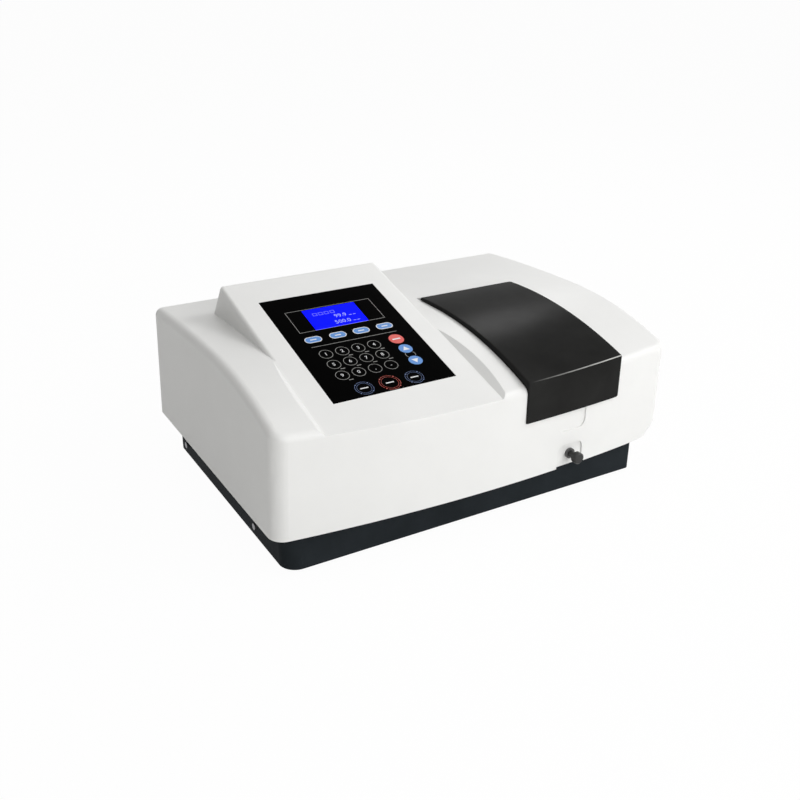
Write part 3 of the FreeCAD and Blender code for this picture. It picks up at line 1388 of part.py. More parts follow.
def make_rear_panel():
    """The connector panel: mains inlet, rocker switch, serial port and fan with its guard."""
    panel_x0 = window_x0 - cover_wall
    panel_x1 = window_x1 + cover_wall
    sheet_metal = box("panel_sheet", panel_x0, panel_x1, panel_front, tray_rear, tray_top,
                      window_top + cover_wall)
    flange = box("panel_flange", panel_x0, panel_x1, panel_front - panel_flange, panel_front, deck_top,
                 deck_top + panel_thickness)
    inlet_z = fan_z
    half_w = inlet_width / 2
    half_h = inlet_height / 2
    body_w = half_w - inlet_rim
    body_h = half_h - inlet_rim
    cut_outs = [box("inlet_cut", inlet_x - body_w - seat_gap, inlet_x + body_w + seat_gap, panel_front - 1,
                    tray_rear + 1, inlet_z - body_h - seat_gap, inlet_z + body_h + seat_gap),
                box("rocker_cut", rocker_x - rocker_width / 2 - rocker_wall,
                    rocker_x + rocker_width / 2 + rocker_wall, panel_front - 1, tray_rear + 1,
                    inlet_z - rocker_height / 2 - rocker_wall, inlet_z + rocker_height / 2 + rocker_wall),
                box("serial_cut", serial_x - serial_width / 2 + inlet_rim,
                    serial_x + serial_width / 2 - inlet_rim, panel_front - 1, tray_rear + 1,
                    inlet_z - serial_height / 2 + inlet_rim / 2, inlet_z + serial_height / 2 - inlet_rim / 2),
                cylinder("fan_cut", fan_bore, panel_thickness + 2, (fan_x, panel_front - 1, fan_z), BACK)]
    screw_circle = fan_side / 2 - fan_screw_inset
    fan_screws = []
    for index, (across, up) in enumerate(((-1, -1), (1, -1), (1, 1), (-1, 1))):
        fan_screws.append((index + 1, fan_x + across * screw_circle, fan_z + up * screw_circle))
    for index, x, z in fan_screws:
        cut_outs.append(cylinder(f"panel_fan_hole_{index}", screw_radius + fit_gap, panel_thickness + 2,
                                 (x, panel_front - 1, z), BACK))
    keep(cut("panel", fuse("panel_whole", sheet_metal, flange), *cut_outs), "rear_panel")

    face = box("inlet_face", inlet_x - half_w, inlet_x + half_w, tray_rear, tray_rear + inlet_rim,
               inlet_z - half_h, inlet_z + half_h)
    body = box("inlet_body", inlet_x - body_w, inlet_x + body_w, tray_rear - inlet_depth, tray_rear + 1,
               inlet_z - body_h, inlet_z + body_h)
    mouth = box("inlet_mouth", inlet_x - body_w + inlet_wall, inlet_x + body_w - inlet_wall,
                tray_rear + inlet_rim - inlet_mouth_depth, tray_rear + inlet_rim + 1,
                inlet_z - body_h + inlet_wall, inlet_z + inlet_mouth_top)
    pins = []
    for index, (across, up) in enumerate(((-1, -1), (1, -1), (0, 1))):
        pin_x = inlet_x + across * pin_pitch
        pin_z = inlet_z + inlet_mouth_top / 2 - body_h / 2 + up * pin_pitch / 2
        pins.append(box(f"inlet_pin_{index + 1}", pin_x - pin_thickness / 2, pin_x + pin_thickness / 2,
                        tray_rear + inlet_rim - inlet_mouth_depth - 1, tray_rear - 1, pin_z - pin_thickness,
                        pin_z + pin_thickness))
    drawer = box("fuse_drawer_gap", inlet_x - body_w + inlet_wall, inlet_x + body_w - inlet_wall,
                 tray_rear + inlet_rim - 1, tray_rear + inlet_rim + 1, inlet_z + inlet_mouth_top + inlet_wall,
                 inlet_z + inlet_mouth_top + inlet_wall * 2)
    keep(fuse("inlet", cut("inlet_shell", fuse("inlet_whole", face, body), mouth, drawer), *pins),
         "power_inlet")

    frame_w = rocker_width / 2 + rocker_wall
    frame_h = rocker_height / 2 + rocker_wall
    rim = box("rocker_rim", rocker_x - frame_w - 1, rocker_x + frame_w + 1, tray_rear,
              tray_rear + rocker_wall, inlet_z - frame_h - 1, inlet_z + frame_h + 1)
    well = box("rocker_well", rocker_x - frame_w + seat_gap, rocker_x + frame_w - seat_gap,
               tray_rear - rocker_depth, tray_rear + 1, inlet_z - frame_h + seat_gap,
               inlet_z + frame_h - seat_gap)
    room = box("rocker_room", rocker_x - rocker_width / 2 - seat_gap, rocker_x + rocker_width / 2 + seat_gap,
               tray_rear - rocker_depth + rocker_wall, tray_rear + rocker_wall + 1,
               inlet_z - rocker_height / 2 - seat_gap, inlet_z + rocker_height / 2 + seat_gap)
    pin = cylinder("rocker_pin", rocker_pin_radius, rocker_width + seat_gap * 4,
                   (rocker_x - rocker_width / 2 - seat_gap * 2, rocker_axis_y, inlet_z), RIGHT)
    keep(fuse("rocker_frame_whole", cut("rocker_frame_shell", fuse("rocker_frame_solid", rim, well), room),
              pin), "rocker_frame")
    half = rocker_height / 2
    crest = rocker_axis_y + rocker_swell
    cap = side_slab("rocker_cap", rocker_x - rocker_width / 2, rocker_x + rocker_width / 2, [
        (rocker_axis_y - rocker_swell, inlet_z - half * 0.4), (rocker_axis_y + 1, inlet_z - half + 1),
        (crest + 1, inlet_z - half + 1), (crest - 1, inlet_z), (crest + 1, inlet_z + half - 1),
        (rocker_axis_y + 1, inlet_z + half - 1), (rocker_axis_y - rocker_swell, inlet_z + half * 0.4),
    ])
    cap_bore = cylinder("rocker_bore", rocker_pin_radius + fit_gap, rocker_width + 2,
                        (rocker_x - rocker_width / 2 - 1, rocker_axis_y, inlet_z), RIGHT)
    keep(cut("rocker", cap, cap_bore), "power_rocker")

    shell_w = serial_width / 2 - inlet_rim - seat_gap
    shell_h = serial_height / 2 - inlet_rim / 2 - seat_gap
    port_flange = box("serial_flange", serial_x - serial_width / 2, serial_x + serial_width / 2, tray_rear,
                      tray_rear + 1, inlet_z - serial_height / 2, inlet_z + serial_height / 2)
    port_body = box("serial_body", serial_x - shell_w, serial_x + shell_w, panel_front - serial_depth,
                    tray_rear + 1, inlet_z - shell_h, inlet_z + shell_h)
    slope = shell_h / 4
    d_shell = front_slab("serial_shell", tray_rear + 1 - serial_lip, tray_rear + serial_lip,
                         [(serial_x - shell_w + slope + 1, inlet_z - shell_h + 1),
                          (serial_x + shell_w - slope - 1, inlet_z - shell_h + 1),
                          (serial_x + shell_w - 1, inlet_z + shell_h - 1),
                          (serial_x - shell_w + 1, inlet_z + shell_h - 1)])
    keep(fuse("serial", port_flange, port_body, d_shell), "serial_port")


def make_fan():
    """The square fan behind the panel: frame with its spider, impeller and wire guard."""
    half = fan_side / 2
    y0 = panel_front - fan_depth
    frame = box("fan_block", fan_x - half, fan_x + half, y0, panel_front, fan_z - half, fan_z + half)
    bore = cylinder("fan_bore", fan_bore, fan_depth + 2, (fan_x, y0 - 1, fan_z), BACK)
    tools = [bore]
    screw_circle = half - fan_screw_inset
    corners = []
    for index, (across, up) in enumerate(((-1, -1), (1, -1), (1, 1), (-1, 1))):
        corners.append((index + 1, fan_x + across * screw_circle, fan_z + up * screw_circle))
    for index, x, z in corners:
        tools.append(cylinder(f"fan_hole_{index}", screw_radius + fit_gap, fan_depth + 2, (x, y0 - 1, z),
                              BACK))
    motor_cup = cylinder("fan_cup", fan_hub_radius, fan_spider, (fan_x, y0, fan_z), BACK)
    legs = [box("fan_leg_across", fan_x - fan_bore - 1, fan_x + fan_bore + 1, y0, y0 + fan_spider,
                fan_z - fan_leg / 2, fan_z + fan_leg / 2),
            box("fan_leg_up", fan_x - fan_leg / 2, fan_x + fan_leg / 2, y0, y0 + fan_spider,
                fan_z - fan_bore - 1, fan_z + fan_bore + 1)]
    axle = cylinder("fan_axle", rocker_pin_radius, fan_depth - fan_spider,
                    (fan_x, y0 + fan_spider - 1, fan_z), BACK)
    keep(fuse("fan_frame_whole", cut("fan_frame_ring", frame, *tools), motor_cup, *legs, axle), "fan_frame")

    hub_y = y0 + fan_spider + seat_gap
    hub_length = fan_depth - fan_spider - seat_gap * 3
    hub = cylinder("fan_hub", fan_hub_radius, hub_length, (fan_x, hub_y, fan_z), BACK)
    blades = []
    reach = fan_bore - fan_tip_gap - fan_hub_radius + 1
    pattern = box("fan_blade", -fan_blade_thickness / 2, fan_blade_thickness / 2, -hub_length / 2 + 1,
                  hub_length / 2 - 1, 0, reach)
    pitched = copy_of("fan_blade_pitched", pattern, 0, 0, fan_hub_radius - 1, Rotation(UP, fan_pitch.value))
    for index in range(fan_blades):
        blades.append(copy_of(f"fan_blade_{index + 1}", pitched, fan_x, hub_y + hub_length / 2, fan_z,
                              Rotation(BACK, 360 / fan_blades * index)))
    hub_bore = cylinder("fan_hub_bore", rocker_pin_radius + fit_gap, hub_length + 2,
                        (fan_x, hub_y - 1, fan_z), BACK)
    keep(cut("impeller", fuse("impeller_whole", hub, *blades), hub_bore), "fan_impeller")

    guard_y = tray_rear + guard_thickness
    pieces = []
    for index in range(guard_rings):
        radius = fan_bore - guard_step * index
        outer = cylinder(f"guard_disc_{index + 1}", radius, guard_thickness, (fan_x, tray_rear, fan_z), BACK)
        inner = cylinder(f"guard_bore_{index + 1}", radius - guard_width, guard_thickness + 2,
                         (fan_x, tray_rear - 1, fan_z), BACK)
        pieces.append(cut(f"guard_ring_{index + 1}", outer, inner))
    half_bar = guard_width / (2 * math.sqrt(2))
    for label, turn in (("rising", 1), ("falling", -1)):
        left = fan_x - screw_circle
        right = fan_x + screw_circle
        low = fan_z - screw_circle * turn
        high = fan_z + screw_circle * turn
        pieces.append(front_slab(f"guard_bar_{label}", tray_rear, guard_y, [
            (left + half_bar, low - half_bar * turn), (right + half_bar, high - half_bar * turn),
            (right - half_bar, high + half_bar * turn), (left - half_bar, low + half_bar * turn),
        ]))
    eyes = []
    screws = []
    for index, x, z in corners:
        pieces.append(cylinder(f"guard_eye_{index}", screw_head_radius, guard_thickness, (x, tray_rear, z),
                               BACK))
        eyes.append(cylinder(f"guard_hole_{index}", screw_radius + fit_gap, guard_thickness + 2,
                             (x, tray_rear - 1, z), BACK))
        head = cylinder(f"fan_screw_head_{index}", screw_head_radius, screw_head_height,
                        (x, guard_y + seat_gap, z), BACK)
        shank = cylinder(f"fan_screw_shank_{index}", screw_radius, fan_depth, (x, guard_y + seat_gap, z),
                         -BACK)
        screws.append(fuse(f"fan_screw_{index}", head, shank))
    keep(cut("guard", fuse("guard_whole", *pieces), *eyes), "fan_grille")
    keep(group("fan_screw_set", *screws), "fan_screws")


make_base()
make_cover()
make_console_parts()
make_rod_port()
make_lid()
make_hinge()
make_sample_well()
make_changer()
make_monochromator()
make_source()
make_detector()
make_boards()
make_rear_panel()
make_fan()
doc.recompute()

for thing in doc.Objects:
    if "Invalid" in thing.State or "Error" in thing.State:
        raise RuntimeError(f"{thing.Name} did not recompute: {thing.State}")
for thing in nodes:
    if thing.Shape.isNull() or not thing.Shape.isValid():
        raise RuntimeError(f"{thing.Label} has no valid shape")

os.makedirs("parts", exist_ok=True)
for thing in nodes:
    thing.Shape.exportStep(f"parts/{thing.Label}.step")
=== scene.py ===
"""Looks of the bench-top spectrophotometer: materials, keypad print, display, studio and camera."""

import math

import bpy
from mathutils import Matrix, Vector


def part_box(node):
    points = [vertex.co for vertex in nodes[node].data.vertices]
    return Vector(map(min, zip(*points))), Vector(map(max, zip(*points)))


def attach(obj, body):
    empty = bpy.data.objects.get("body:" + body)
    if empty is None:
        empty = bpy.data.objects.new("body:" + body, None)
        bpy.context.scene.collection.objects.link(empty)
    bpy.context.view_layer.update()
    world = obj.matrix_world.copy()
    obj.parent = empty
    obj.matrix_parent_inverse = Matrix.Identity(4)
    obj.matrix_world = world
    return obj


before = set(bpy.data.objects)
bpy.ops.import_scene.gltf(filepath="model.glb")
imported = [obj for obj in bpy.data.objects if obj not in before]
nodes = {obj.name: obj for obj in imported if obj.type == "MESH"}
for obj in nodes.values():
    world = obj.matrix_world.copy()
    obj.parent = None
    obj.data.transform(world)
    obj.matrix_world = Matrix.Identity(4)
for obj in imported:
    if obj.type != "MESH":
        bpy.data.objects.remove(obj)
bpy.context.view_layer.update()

# Camera, fitted to the photograph
CAMERA_PLACE = Vector((-0.5391, -0.89283, 0.55544))
CAMERA_PITCH = math.radians(24.70)
CAMERA_YAW = math.radians(30.47)
CAMERA_ROLL = math.radians(0.447)
CAMERA_LENS = 43.775
SENSOR_WIDTH = 36.0

# The sloping console, from the cover's own geometry
CONSOLE_FRONT = Vector((0, -0.1752, 0.1452))
CONSOLE_TILT = math.radians(15.28)
CONSOLE_UP_SLOPE = Vector((0, math.cos(CONSOLE_TILT), math.sin(CONSOLE_TILT)))
CONSOLE_OUT = Vector((0, -math.sin(CONSOLE_TILT), math.cos(CONSOLE_TILT)))
MM = 0.001
PRINT_LIFT = 0.04

# Colours as they render, in linear light
COVER_WHITE = (0.83, 0.83, 0.82, 1)
FILM_BLACK = (0.0006, 0.0006, 0.0006, 1)
LID_BLACK = (0.019, 0.019, 0.0185, 1)
# A painted highlight colour for the lid's crease, not a colour the lid itself has
LID_CREASE_HIGHLIGHT = (0.62, 0.62, 0.60, 1)
BASE_BLACK = (0.020, 0.024, 0.0275, 1)
DISPLAY_BLUE = (0.001, 0.004, 0.95, 1)
KEY_BLUE = (0.065, 0.235, 0.61, 1)
FIGURE_WHITE = (0.40, 0.45, 0.85, 1)
FIGURE_DIM = (0.13, 0.15, 0.85, 1)
KEY_RED = (0.66, 0.06, 0.045, 1)
PRINT_WHITE = (0.75, 0.76, 0.78, 1)
PRINT_GREY = (0.22, 0.22, 0.21, 1)
RING_RED = (0.42, 0.05, 0.03, 1)
RING_BLUE = (0.08, 0.13, 0.28, 1)

# Texture and gloss, shared by the materials; lengths in metres
NOISE_ROUGHNESS = 0.55
RAMP_START = 0.35
RAMP_END = 0.65
WANDER_FINER = 6
WANDER = 0.12
BRUSHED_ALONG = (4, 4, 900)
BRUSHED_BUMP = 0.08
BRUSHED_DEPTH = 0.00005
GLASS_IOR = 1.46
GLASS_STREAKS = 60.0
PIXEL = 0.0005
PIXEL_GAP = 0.00004


def new_material(name):
    """An empty node material with its principled shader."""
    material = bpy.data.materials.new(name)
    material.use_nodes = True
    tree = material.node_tree
    tree.nodes.clear()
    output = tree.nodes.new("ShaderNodeOutputMaterial")
    shader = tree.nodes.new("ShaderNodeBsdfPrincipled")
    tree.links.new(shader.outputs["BSDF"], output.inputs["Surface"])
    return material, tree, shader


def noise(tree, scale, detail=4.0):
    """Noise in the object's own space."""
    place = tree.nodes.new("ShaderNodeTexCoord")
    texture = tree.nodes.new("ShaderNodeTexNoise")
    texture.inputs["Scale"].default_value = scale
    texture.inputs["Detail"].default_value = detail
    texture.inputs["Roughness"].default_value = NOISE_ROUGHNESS
    tree.links.new(place.outputs["Object"], texture.inputs["Vector"])
    return texture.outputs["Fac"]


def ramp(tree, source, low, high):
    """A colour ramp between two colours over the middle part of the source's range."""
    node = tree.nodes.new("ShaderNodeValToRGB")
    node.color_ramp.elements[0].position = RAMP_START
    node.color_ramp.elements[0].color = low
    node.color_ramp.elements[1].position = RAMP_END
    node.color_ramp.elements[1].color = high
    tree.links.new(source, node.inputs["Fac"])
    return node.outputs["Color"]


def spread(tree, source, low, high):
    """Maps a source from 0 to 1 onto low to high."""
    node = tree.nodes.new("ShaderNodeMapRange")
    node.inputs["To Min"].default_value = low
    node.inputs["To Max"].default_value = high
    tree.links.new(source, node.inputs["Value"])
    return node.outputs["Result"]


def bump(tree, shader, source, strength, distance):
    """Raises the source as fine relief on the shader."""
    node = tree.nodes.new("ShaderNodeBump")
    node.inputs["Strength"].default_value = strength
    node.inputs["Distance"].default_value = distance
    tree.links.new(source, node.inputs["Height"])
    tree.links.new(node.outputs["Normal"], shader.inputs["Normal"])


def shade(colour, factor):
    """The colour made darker or lighter by a factor."""
    return (colour[0] * factor, colour[1] * factor, colour[2] * factor, 1)


def surface(name, colour, roughness, vary=0.06, grain=900.0, grain_strength=0.12, grain_depth=0.00008,
            metallic=0.0, patch=14.0, specular=0.5):
    """A finish with a fine grain, slow patches of colour and a roughness that wanders a little."""
    material, tree, shader = new_material(name)
    patches = noise(tree, patch)
    colours = ramp(tree, patches, shade(colour, 1 - vary), shade(colour, 1 + vary))
    tree.links.new(colours, shader.inputs["Base Color"])
    shader.inputs["Metallic"].default_value = metallic
    shader.inputs["Specular IOR Level"].default_value = specular
    wander = noise(tree, patch * WANDER_FINER)
    low = roughness * (1 - WANDER)
    high = roughness * (1 + WANDER)
    tree.links.new(spread(tree, wander, low, high), shader.inputs["Roughness"])
    bump(tree, shader, noise(tree, grain, 3.0), grain_strength, grain_depth)
    return material


def brushed(name, colour, roughness):
    """Metal with fine parallel marks."""
    material, tree, shader = new_material(name)
    place = tree.nodes.new("ShaderNodeTexCoord")
    stretch = tree.nodes.new("ShaderNodeMapping")
    stretch.inputs["Scale"].default_value = BRUSHED_ALONG
    texture = tree.nodes.new("ShaderNodeTexNoise")
    texture.inputs["Scale"].default_value = 3.0
    texture.inputs["Detail"].default_value = 6.0
    tree.links.new(place.outputs["Object"], stretch.inputs["Vector"])
    tree.links.new(stretch.outputs["Vector"], texture.inputs["Vector"])
    tree.links.new(ramp(tree, texture.outputs["Fac"], shade(colour, 0.86), shade(colour, 1.06)),
                   shader.inputs["Base Color"])
    shader.inputs["Metallic"].default_value = 1.0
    tree.links.new(spread(tree, texture.outputs["Fac"], roughness * 0.8, roughness * 1.25),
                   shader.inputs["Roughness"])
    bump(tree, shader, texture.outputs["Fac"], BRUSHED_BUMP, BRUSHED_DEPTH)
    return material


def clear(name, colour, roughness, transmission):
    """Glass or quartz, with faint streaks in its roughness."""
    material, tree, shader = new_material(name)
    shader.inputs["Base Color"].default_value = colour
    shader.inputs["Transmission Weight"].default_value = transmission
    shader.inputs["IOR"].default_value = GLASS_IOR
    streaks = noise(tree, GLASS_STREAKS)
    tree.links.new(spread(tree, streaks, roughness, roughness + 0.06), shader.inputs["Roughness"])
    return material


def glowing(name, colour, strength):
    """A lit display: dark blue plastic that glows evenly, with a faint pixel grid."""
    material, tree, shader = new_material(name)
    place = tree.nodes.new("ShaderNodeTexCoord")
    grid = tree.nodes.new("ShaderNodeTexBrick")
    grid.offset = 0.0
    grid.inputs["Scale"].default_value = 1.0
    grid.inputs["Brick Width"].default_value = PIXEL
    grid.inputs["Row Height"].default_value = PIXEL
    grid.inputs["Mortar Size"].default_value = PIXEL_GAP
    grid.inputs["Color1"].default_value = colour
    grid.inputs["Color2"].default_value = colour
    grid.inputs["Mortar"].default_value = shade(colour, 0.9)
    tree.links.new(place.outputs["Object"], grid.inputs["Vector"])
    tree.links.new(grid.outputs["Color"], shader.inputs["Base Color"])
    tree.links.new(grid.outputs["Color"], shader.inputs["Emission Color"])
    shader.inputs["Emission Strength"].default_value = strength
    shader.inputs["Roughness"].default_value = 0.18
    shader.inputs["Specular IOR Level"].default_value = 0.02
    return material


cover_white = surface("cover_white", COVER_WHITE, 0.42, vary=0.012, grain=1400.0, grain_strength=0.05,
                      specular=0.35)
port_white = surface("port_white", shade(COVER_WHITE, 0.96), 0.4, vary=0.02, grain=1400.0,
                     grain_strength=0.05)
lid_black = surface("lid_black", LID_BLACK, 0.24, vary=0.25, grain=1100.0, grain_strength=0.1, patch=9.0,
                    specular=0.009)
base_black = surface("base_black", BASE_BLACK, 0.5, vary=0.15, grain=1500.0, grain_strength=0.3,
                     specular=0.01)
film_black = surface("film_black", FILM_BLACK, 0.22, vary=0.1, grain=1800.0, grain_strength=0.03,
                     specular=0.004)
knob_black = surface("knob_black", (0.027, 0.027, 0.027, 1), 0.4, vary=0.1, grain=1300.0, specular=0.3)
boss_grey = surface("boss_grey", (0.09, 0.09, 0.09, 1), 0.45, vary=0.1, grain=1300.0)
plastic_black = surface("plastic_black", (0.022, 0.022, 0.024, 1), 0.5, vary=0.12, grain=1200.0,
                        grain_strength=0.2)
gloss_black = surface("gloss_black", (0.018, 0.018, 0.02, 1), 0.2, vary=0.08, grain=900.0,
                      grain_strength=0.05)
well_black = surface("well_black", (0.014, 0.014, 0.014, 1), 0.7, vary=0.15, grain=1600.0, grain_strength=0.4)
anodised = surface("anodised", (0.03, 0.03, 0.033, 1), 0.48, vary=0.15, grain=1500.0, metallic=0.6)
rubber = surface("rubber", (0.012, 0.012, 0.012, 1), 0.75, vary=0.2, grain=1300.0, grain_strength=0.4)
foam = surface("foam", (0.01, 0.01, 0.01, 1), 0.95, vary=0.3, grain=700.0, grain_strength=0.9,
               grain_depth=0.0004)
panel_grey = surface("panel_grey", (0.55, 0.56, 0.57, 1), 0.5, vary=0.04, grain=1500.0, grain_strength=0.35)
ceramic = surface("ceramic", (0.72, 0.69, 0.62, 1), 0.55, vary=0.05, grain=1000.0)
board_green = surface("board_green", (0.01, 0.12, 0.04, 1), 0.35, vary=0.25, grain=500.0, patch=120.0)
supply_brown = surface("supply_brown", (0.14, 0.1, 0.03, 1), 0.5, vary=0.3, grain=600.0, patch=90.0)
module_dark = surface("module_dark", (0.03, 0.035, 0.03, 1), 0.4, vary=0.1)
zinc = brushed("zinc", (0.55, 0.56, 0.58, 1), 0.38)
steel = brushed("steel", (0.6, 0.6, 0.61, 1), 0.25)
dark_steel = brushed("dark_steel", (0.18, 0.18, 0.19, 1), 0.4)
screw_steel = brushed("screw_steel", (0.20, 0.20, 0.21, 1), 0.35)
nickel = brushed("nickel", (0.7, 0.7, 0.71, 1), 0.2)
brass = brushed("brass", (0.58, 0.4, 0.14, 1), 0.28)
mirror_glass = surface("mirror_glass", (0.86, 0.88, 0.9, 1), 0.05, vary=0.01, grain=200.0,
                       grain_strength=0.01, metallic=1.0)
quartz = clear("quartz", (0.93, 0.95, 0.97, 1), 0.02, 0.95)
amber_glass = clear("amber_glass", (0.85, 0.45, 0.12, 1), 0.03, 0.85)
display_blue = glowing("display_blue", DISPLAY_BLUE, 0.75)

# The lid's crease gets a painted highlight: a lighter colour where its surface turns from top to front, found
# by the product of the normal's Y and Z
CREASE_START = -0.38
CREASE_FULL = -0.49
CREASE_INSET = 0.005


def paint_crease_highlight(material, colour, left, right):
    """Paints a highlight colour on the rounded crease between the lid's top and its front, stronger towards
    its right end.
    """
    tree = material.node_tree
    shader = [node for node in tree.nodes if node.type == "BSDF_PRINCIPLED"][0]
    plain = shader.inputs["Base Color"].links[0].from_socket
    place = tree.nodes.new("ShaderNodeTexCoord")
    facing = tree.nodes.new("ShaderNodeSeparateXYZ")
    tree.links.new(place.outputs["Normal"], facing.inputs["Vector"])
    between = tree.nodes.new("ShaderNodeMath")
    between.operation = "MULTIPLY"
    tree.links.new(facing.outputs["Y"], between.inputs[0])
    tree.links.new(facing.outputs["Z"], between.inputs[1])
    crease = tree.nodes.new("ShaderNodeMapRange")
    crease.inputs["From Min"].default_value = CREASE_START
    crease.inputs["From Max"].default_value = CREASE_FULL
    tree.links.new(between.outputs["Value"], crease.inputs["Value"])
    where = tree.nodes.new("ShaderNodeSeparateXYZ")
    tree.links.new(place.outputs["Object"], where.inputs["Vector"])
    towards = tree.nodes.new("ShaderNodeMapRange")
    towards.inputs["From Min"].default_value = left
    towards.inputs["From Max"].default_value = right
    tree.links.new(where.outputs["X"], towards.inputs["Value"])
    share = tree.nodes.new("ShaderNodeMath")
    share.operation = "MULTIPLY"
    tree.links.new(crease.outputs["Result"], share.inputs[0])
    tree.links.new(towards.outputs["Result"], share.inputs[1])
    # Mixes the painted highlight colour into the lid's own colour along the crease
    mixed = tree.nodes.new("ShaderNodeMix")
    mixed.data_type = "RGBA"
    colours = [socket for socket in mixed.inputs if socket.type == "RGBA"]
    colours[1].default_value = colour
    tree.links.new(share.outputs["Value"], mixed.inputs["Factor"])
    tree.links.new(plain, colours[0])
    result = [socket for socket in mixed.outputs if socket.type == "RGBA"][0]
    tree.links.new(result, shader.inputs["Base Color"])


lid_low, lid_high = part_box("sample_lid")
# Painted highlight along the lid's crease, stronger towards its right end
paint_crease_highlight(lid_black, LID_CREASE_HIGHLIGHT, lid_low[0] + CREASE_INSET, lid_high[0])

FINISHES = {
    cover_white: ["top_cover"],
    port_white: ["rod_port_plate"],
    lid_black: ["sample_lid"],
    base_black: ["base_tray"],
    film_black: ["keypad_film"],
    display_blue: ["lcd_window"],
    module_dark: ["lcd_module"],
    knob_black: ["pull_knob", "lid_hinge_blocks"],
    boss_grey: ["rod_bush"],
    gloss_black: ["power_rocker"],
    plastic_black: ["power_inlet", "rocker_frame", "fan_frame", "fan_impeller"],
    well_black: ["sample_well", "cuvette_holder", "changer_carriage"],
    anodised: ["mono_housing", "mono_cover", "detector_housing", "grating_table", "sine_arm", "filter_wheel",
               "mirror_arm"],
    rubber: ["rubber_feet"],
    foam: ["light_seal"],
    panel_grey: ["rear_panel"],
    ceramic: ["lamp_sockets"],
    board_green: ["display_board", "main_board", "preamp_board"],
    supply_brown: ["power_supply"],
    zinc: ["deck_plate", "filter_bracket", "heat_shield", "mirror_mounts", "board_standoffs"],
    screw_steel: ["case_screws"],
    steel: ["fan_screws", "lid_hinge_pin", "guide_rails", "pull_rod", "lead_screw", "filter_shaft",
            "photodiode"],
    dark_steel: ["slit_plates", "wavelength_motor", "filter_motor", "selector_motor"],
    nickel: ["serial_port", "fan_grille"],
    brass: ["lead_nut", "drive_coupler"],
    mirror_glass: ["mirrors", "source_mirror", "grating"],
    quartz: ["tungsten_lamp", "deuterium_lamp"],
    amber_glass: ["filter_glasses"],
}
SMOOTH_ANGLE = math.radians(28)


def finish_node(node, material):
    """Gives a CAD node its material and smooth shading between its sharp edges."""
    piece = nodes[node]
    mesh = piece.data
    mesh.materials.clear()
    mesh.materials.append(material)
    mesh.polygons.foreach_set("use_smooth", [True] * len(mesh.polygons))
    mesh.set_sharp_from_angle(angle=SMOOTH_ANGLE)


for material, names in FINISHES.items():
    for node in names:
        finish_node(node, material)


# Keypad print: each mark is flat on the film, placed by X and by its way up the slope, in millimetres
def console_point(x, up_slope, lift):
    """A point over the sloping console, from millimetres across, up the slope and out of it."""
    return Vector((x * MM, 0, 0)) + CONSOLE_FRONT + CONSOLE_UP_SLOPE * up_slope * MM + CONSOLE_OUT * lift * MM


ARC_STEPS = 16
ROUND_STEPS = 40
NUMERAL_STEPS = 3


class Print:
    """The marks of one colour, gathered into one mesh."""

    def __init__(self, name, material, lift=PRINT_LIFT):
        self.name = name
        self.material = material
        self.lift = lift
        self.points = []
        self.faces = []

    def polygon(self, outline):
        """One flat face inside an outline."""
        start = len(self.points)
        self.points += [console_point(x, up, self.lift) for x, up in outline]
        self.faces.append(range(start, start + len(outline)))

    def band(self, outer, inner):
        """The strip between two outlines of equal length."""
        start = len(self.points)
        count = len(outer)
        self.points += [console_point(x, up, self.lift) for x, up in outer + inner]
        for index in range(count):
            after = (index + 1) % count
            face = (start + index, start + after, start + count + after, start + count + index)
            self.faces.append(face)

    def disc(self, x, up, radius):
        self.polygon(round_outline(x, up, radius, radius))

    def ring(self, x, up, radius, width):
        inside = radius - width
        self.band(round_outline(x, up, radius, radius), round_outline(x, up, inside, inside))

    def arc_ring(self, x, up, radius, width, start, sweep):
        """Part of a ring, from start through sweep, in degrees."""
        base = len(self.points)
        for index in range(ARC_STEPS + 1):
            angle = math.radians(start + sweep * index / ARC_STEPS)
            for reach in (radius, radius - width):
                across = x + reach * math.cos(angle)
                along = up + reach * math.sin(angle)
                self.points.append(console_point(across, along, self.lift))
        for index in range(ARC_STEPS):
            low = base + index * 2
            self.faces.append((low, low + 2, low + 3, low + 1))

    def bar(self, x0, up0, x1, up1):
        self.polygon([(x0, up0), (x1, up0), (x1, up1), (x0, up1)])

    def frame(self, x0, up0, x1, up1, width):
        """A rectangle's border, inwards from its edges."""
        outer = [(x0, up0), (x1, up0), (x1, up1), (x0, up1)]
        inner = [(x0 + width, up0 + width), (x1 - width, up0 + width),
                 (x1 - width, up1 - width), (x0 + width, up1 - width)]
        self.band(outer, inner)

    def numerals(self, text, x, up, height, align="CENTER"):
        """Plain numerals, centred at x and up, or with their right end at x."""
        curve = bpy.data.curves.new(f"{self.name}_numerals", "FONT")
        curve.body = text
        curve.size = height
        curve.align_x = align
        curve.align_y = "CENTER"
        curve.resolution_u = NUMERAL_STEPS
        holder = bpy.data.objects.new(f"{self.name}_numerals", curve)
        bpy.context.scene.collection.objects.link(holder)
        mesh = bpy.data.meshes.new_from_object(holder)
        start = len(self.points)
        for vertex in mesh.vertices:
            self.points.append(console_point(x + vertex.co.x, up + vertex.co.y, self.lift))
        self.faces += [[start + index for index in face.vertices] for face in mesh.polygons]
        bpy.data.objects.remove(holder)
        bpy.data.curves.remove(curve)
        bpy.data.meshes.remove(mesh)

    def build(self, slot="film_print"):
        """Makes the marks one piece on the fixed body."""
        mesh = bpy.data.meshes.new(self.name)
        mesh.from_pydata([tuple(point) for point in self.points], [], [list(face) for face in self.faces])
        mesh.materials.append(self.material)
        piece = bpy.data.objects.new(self.name, mesh)
        bpy.context.scene.collection.objects.link(piece)
        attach(piece, "base")


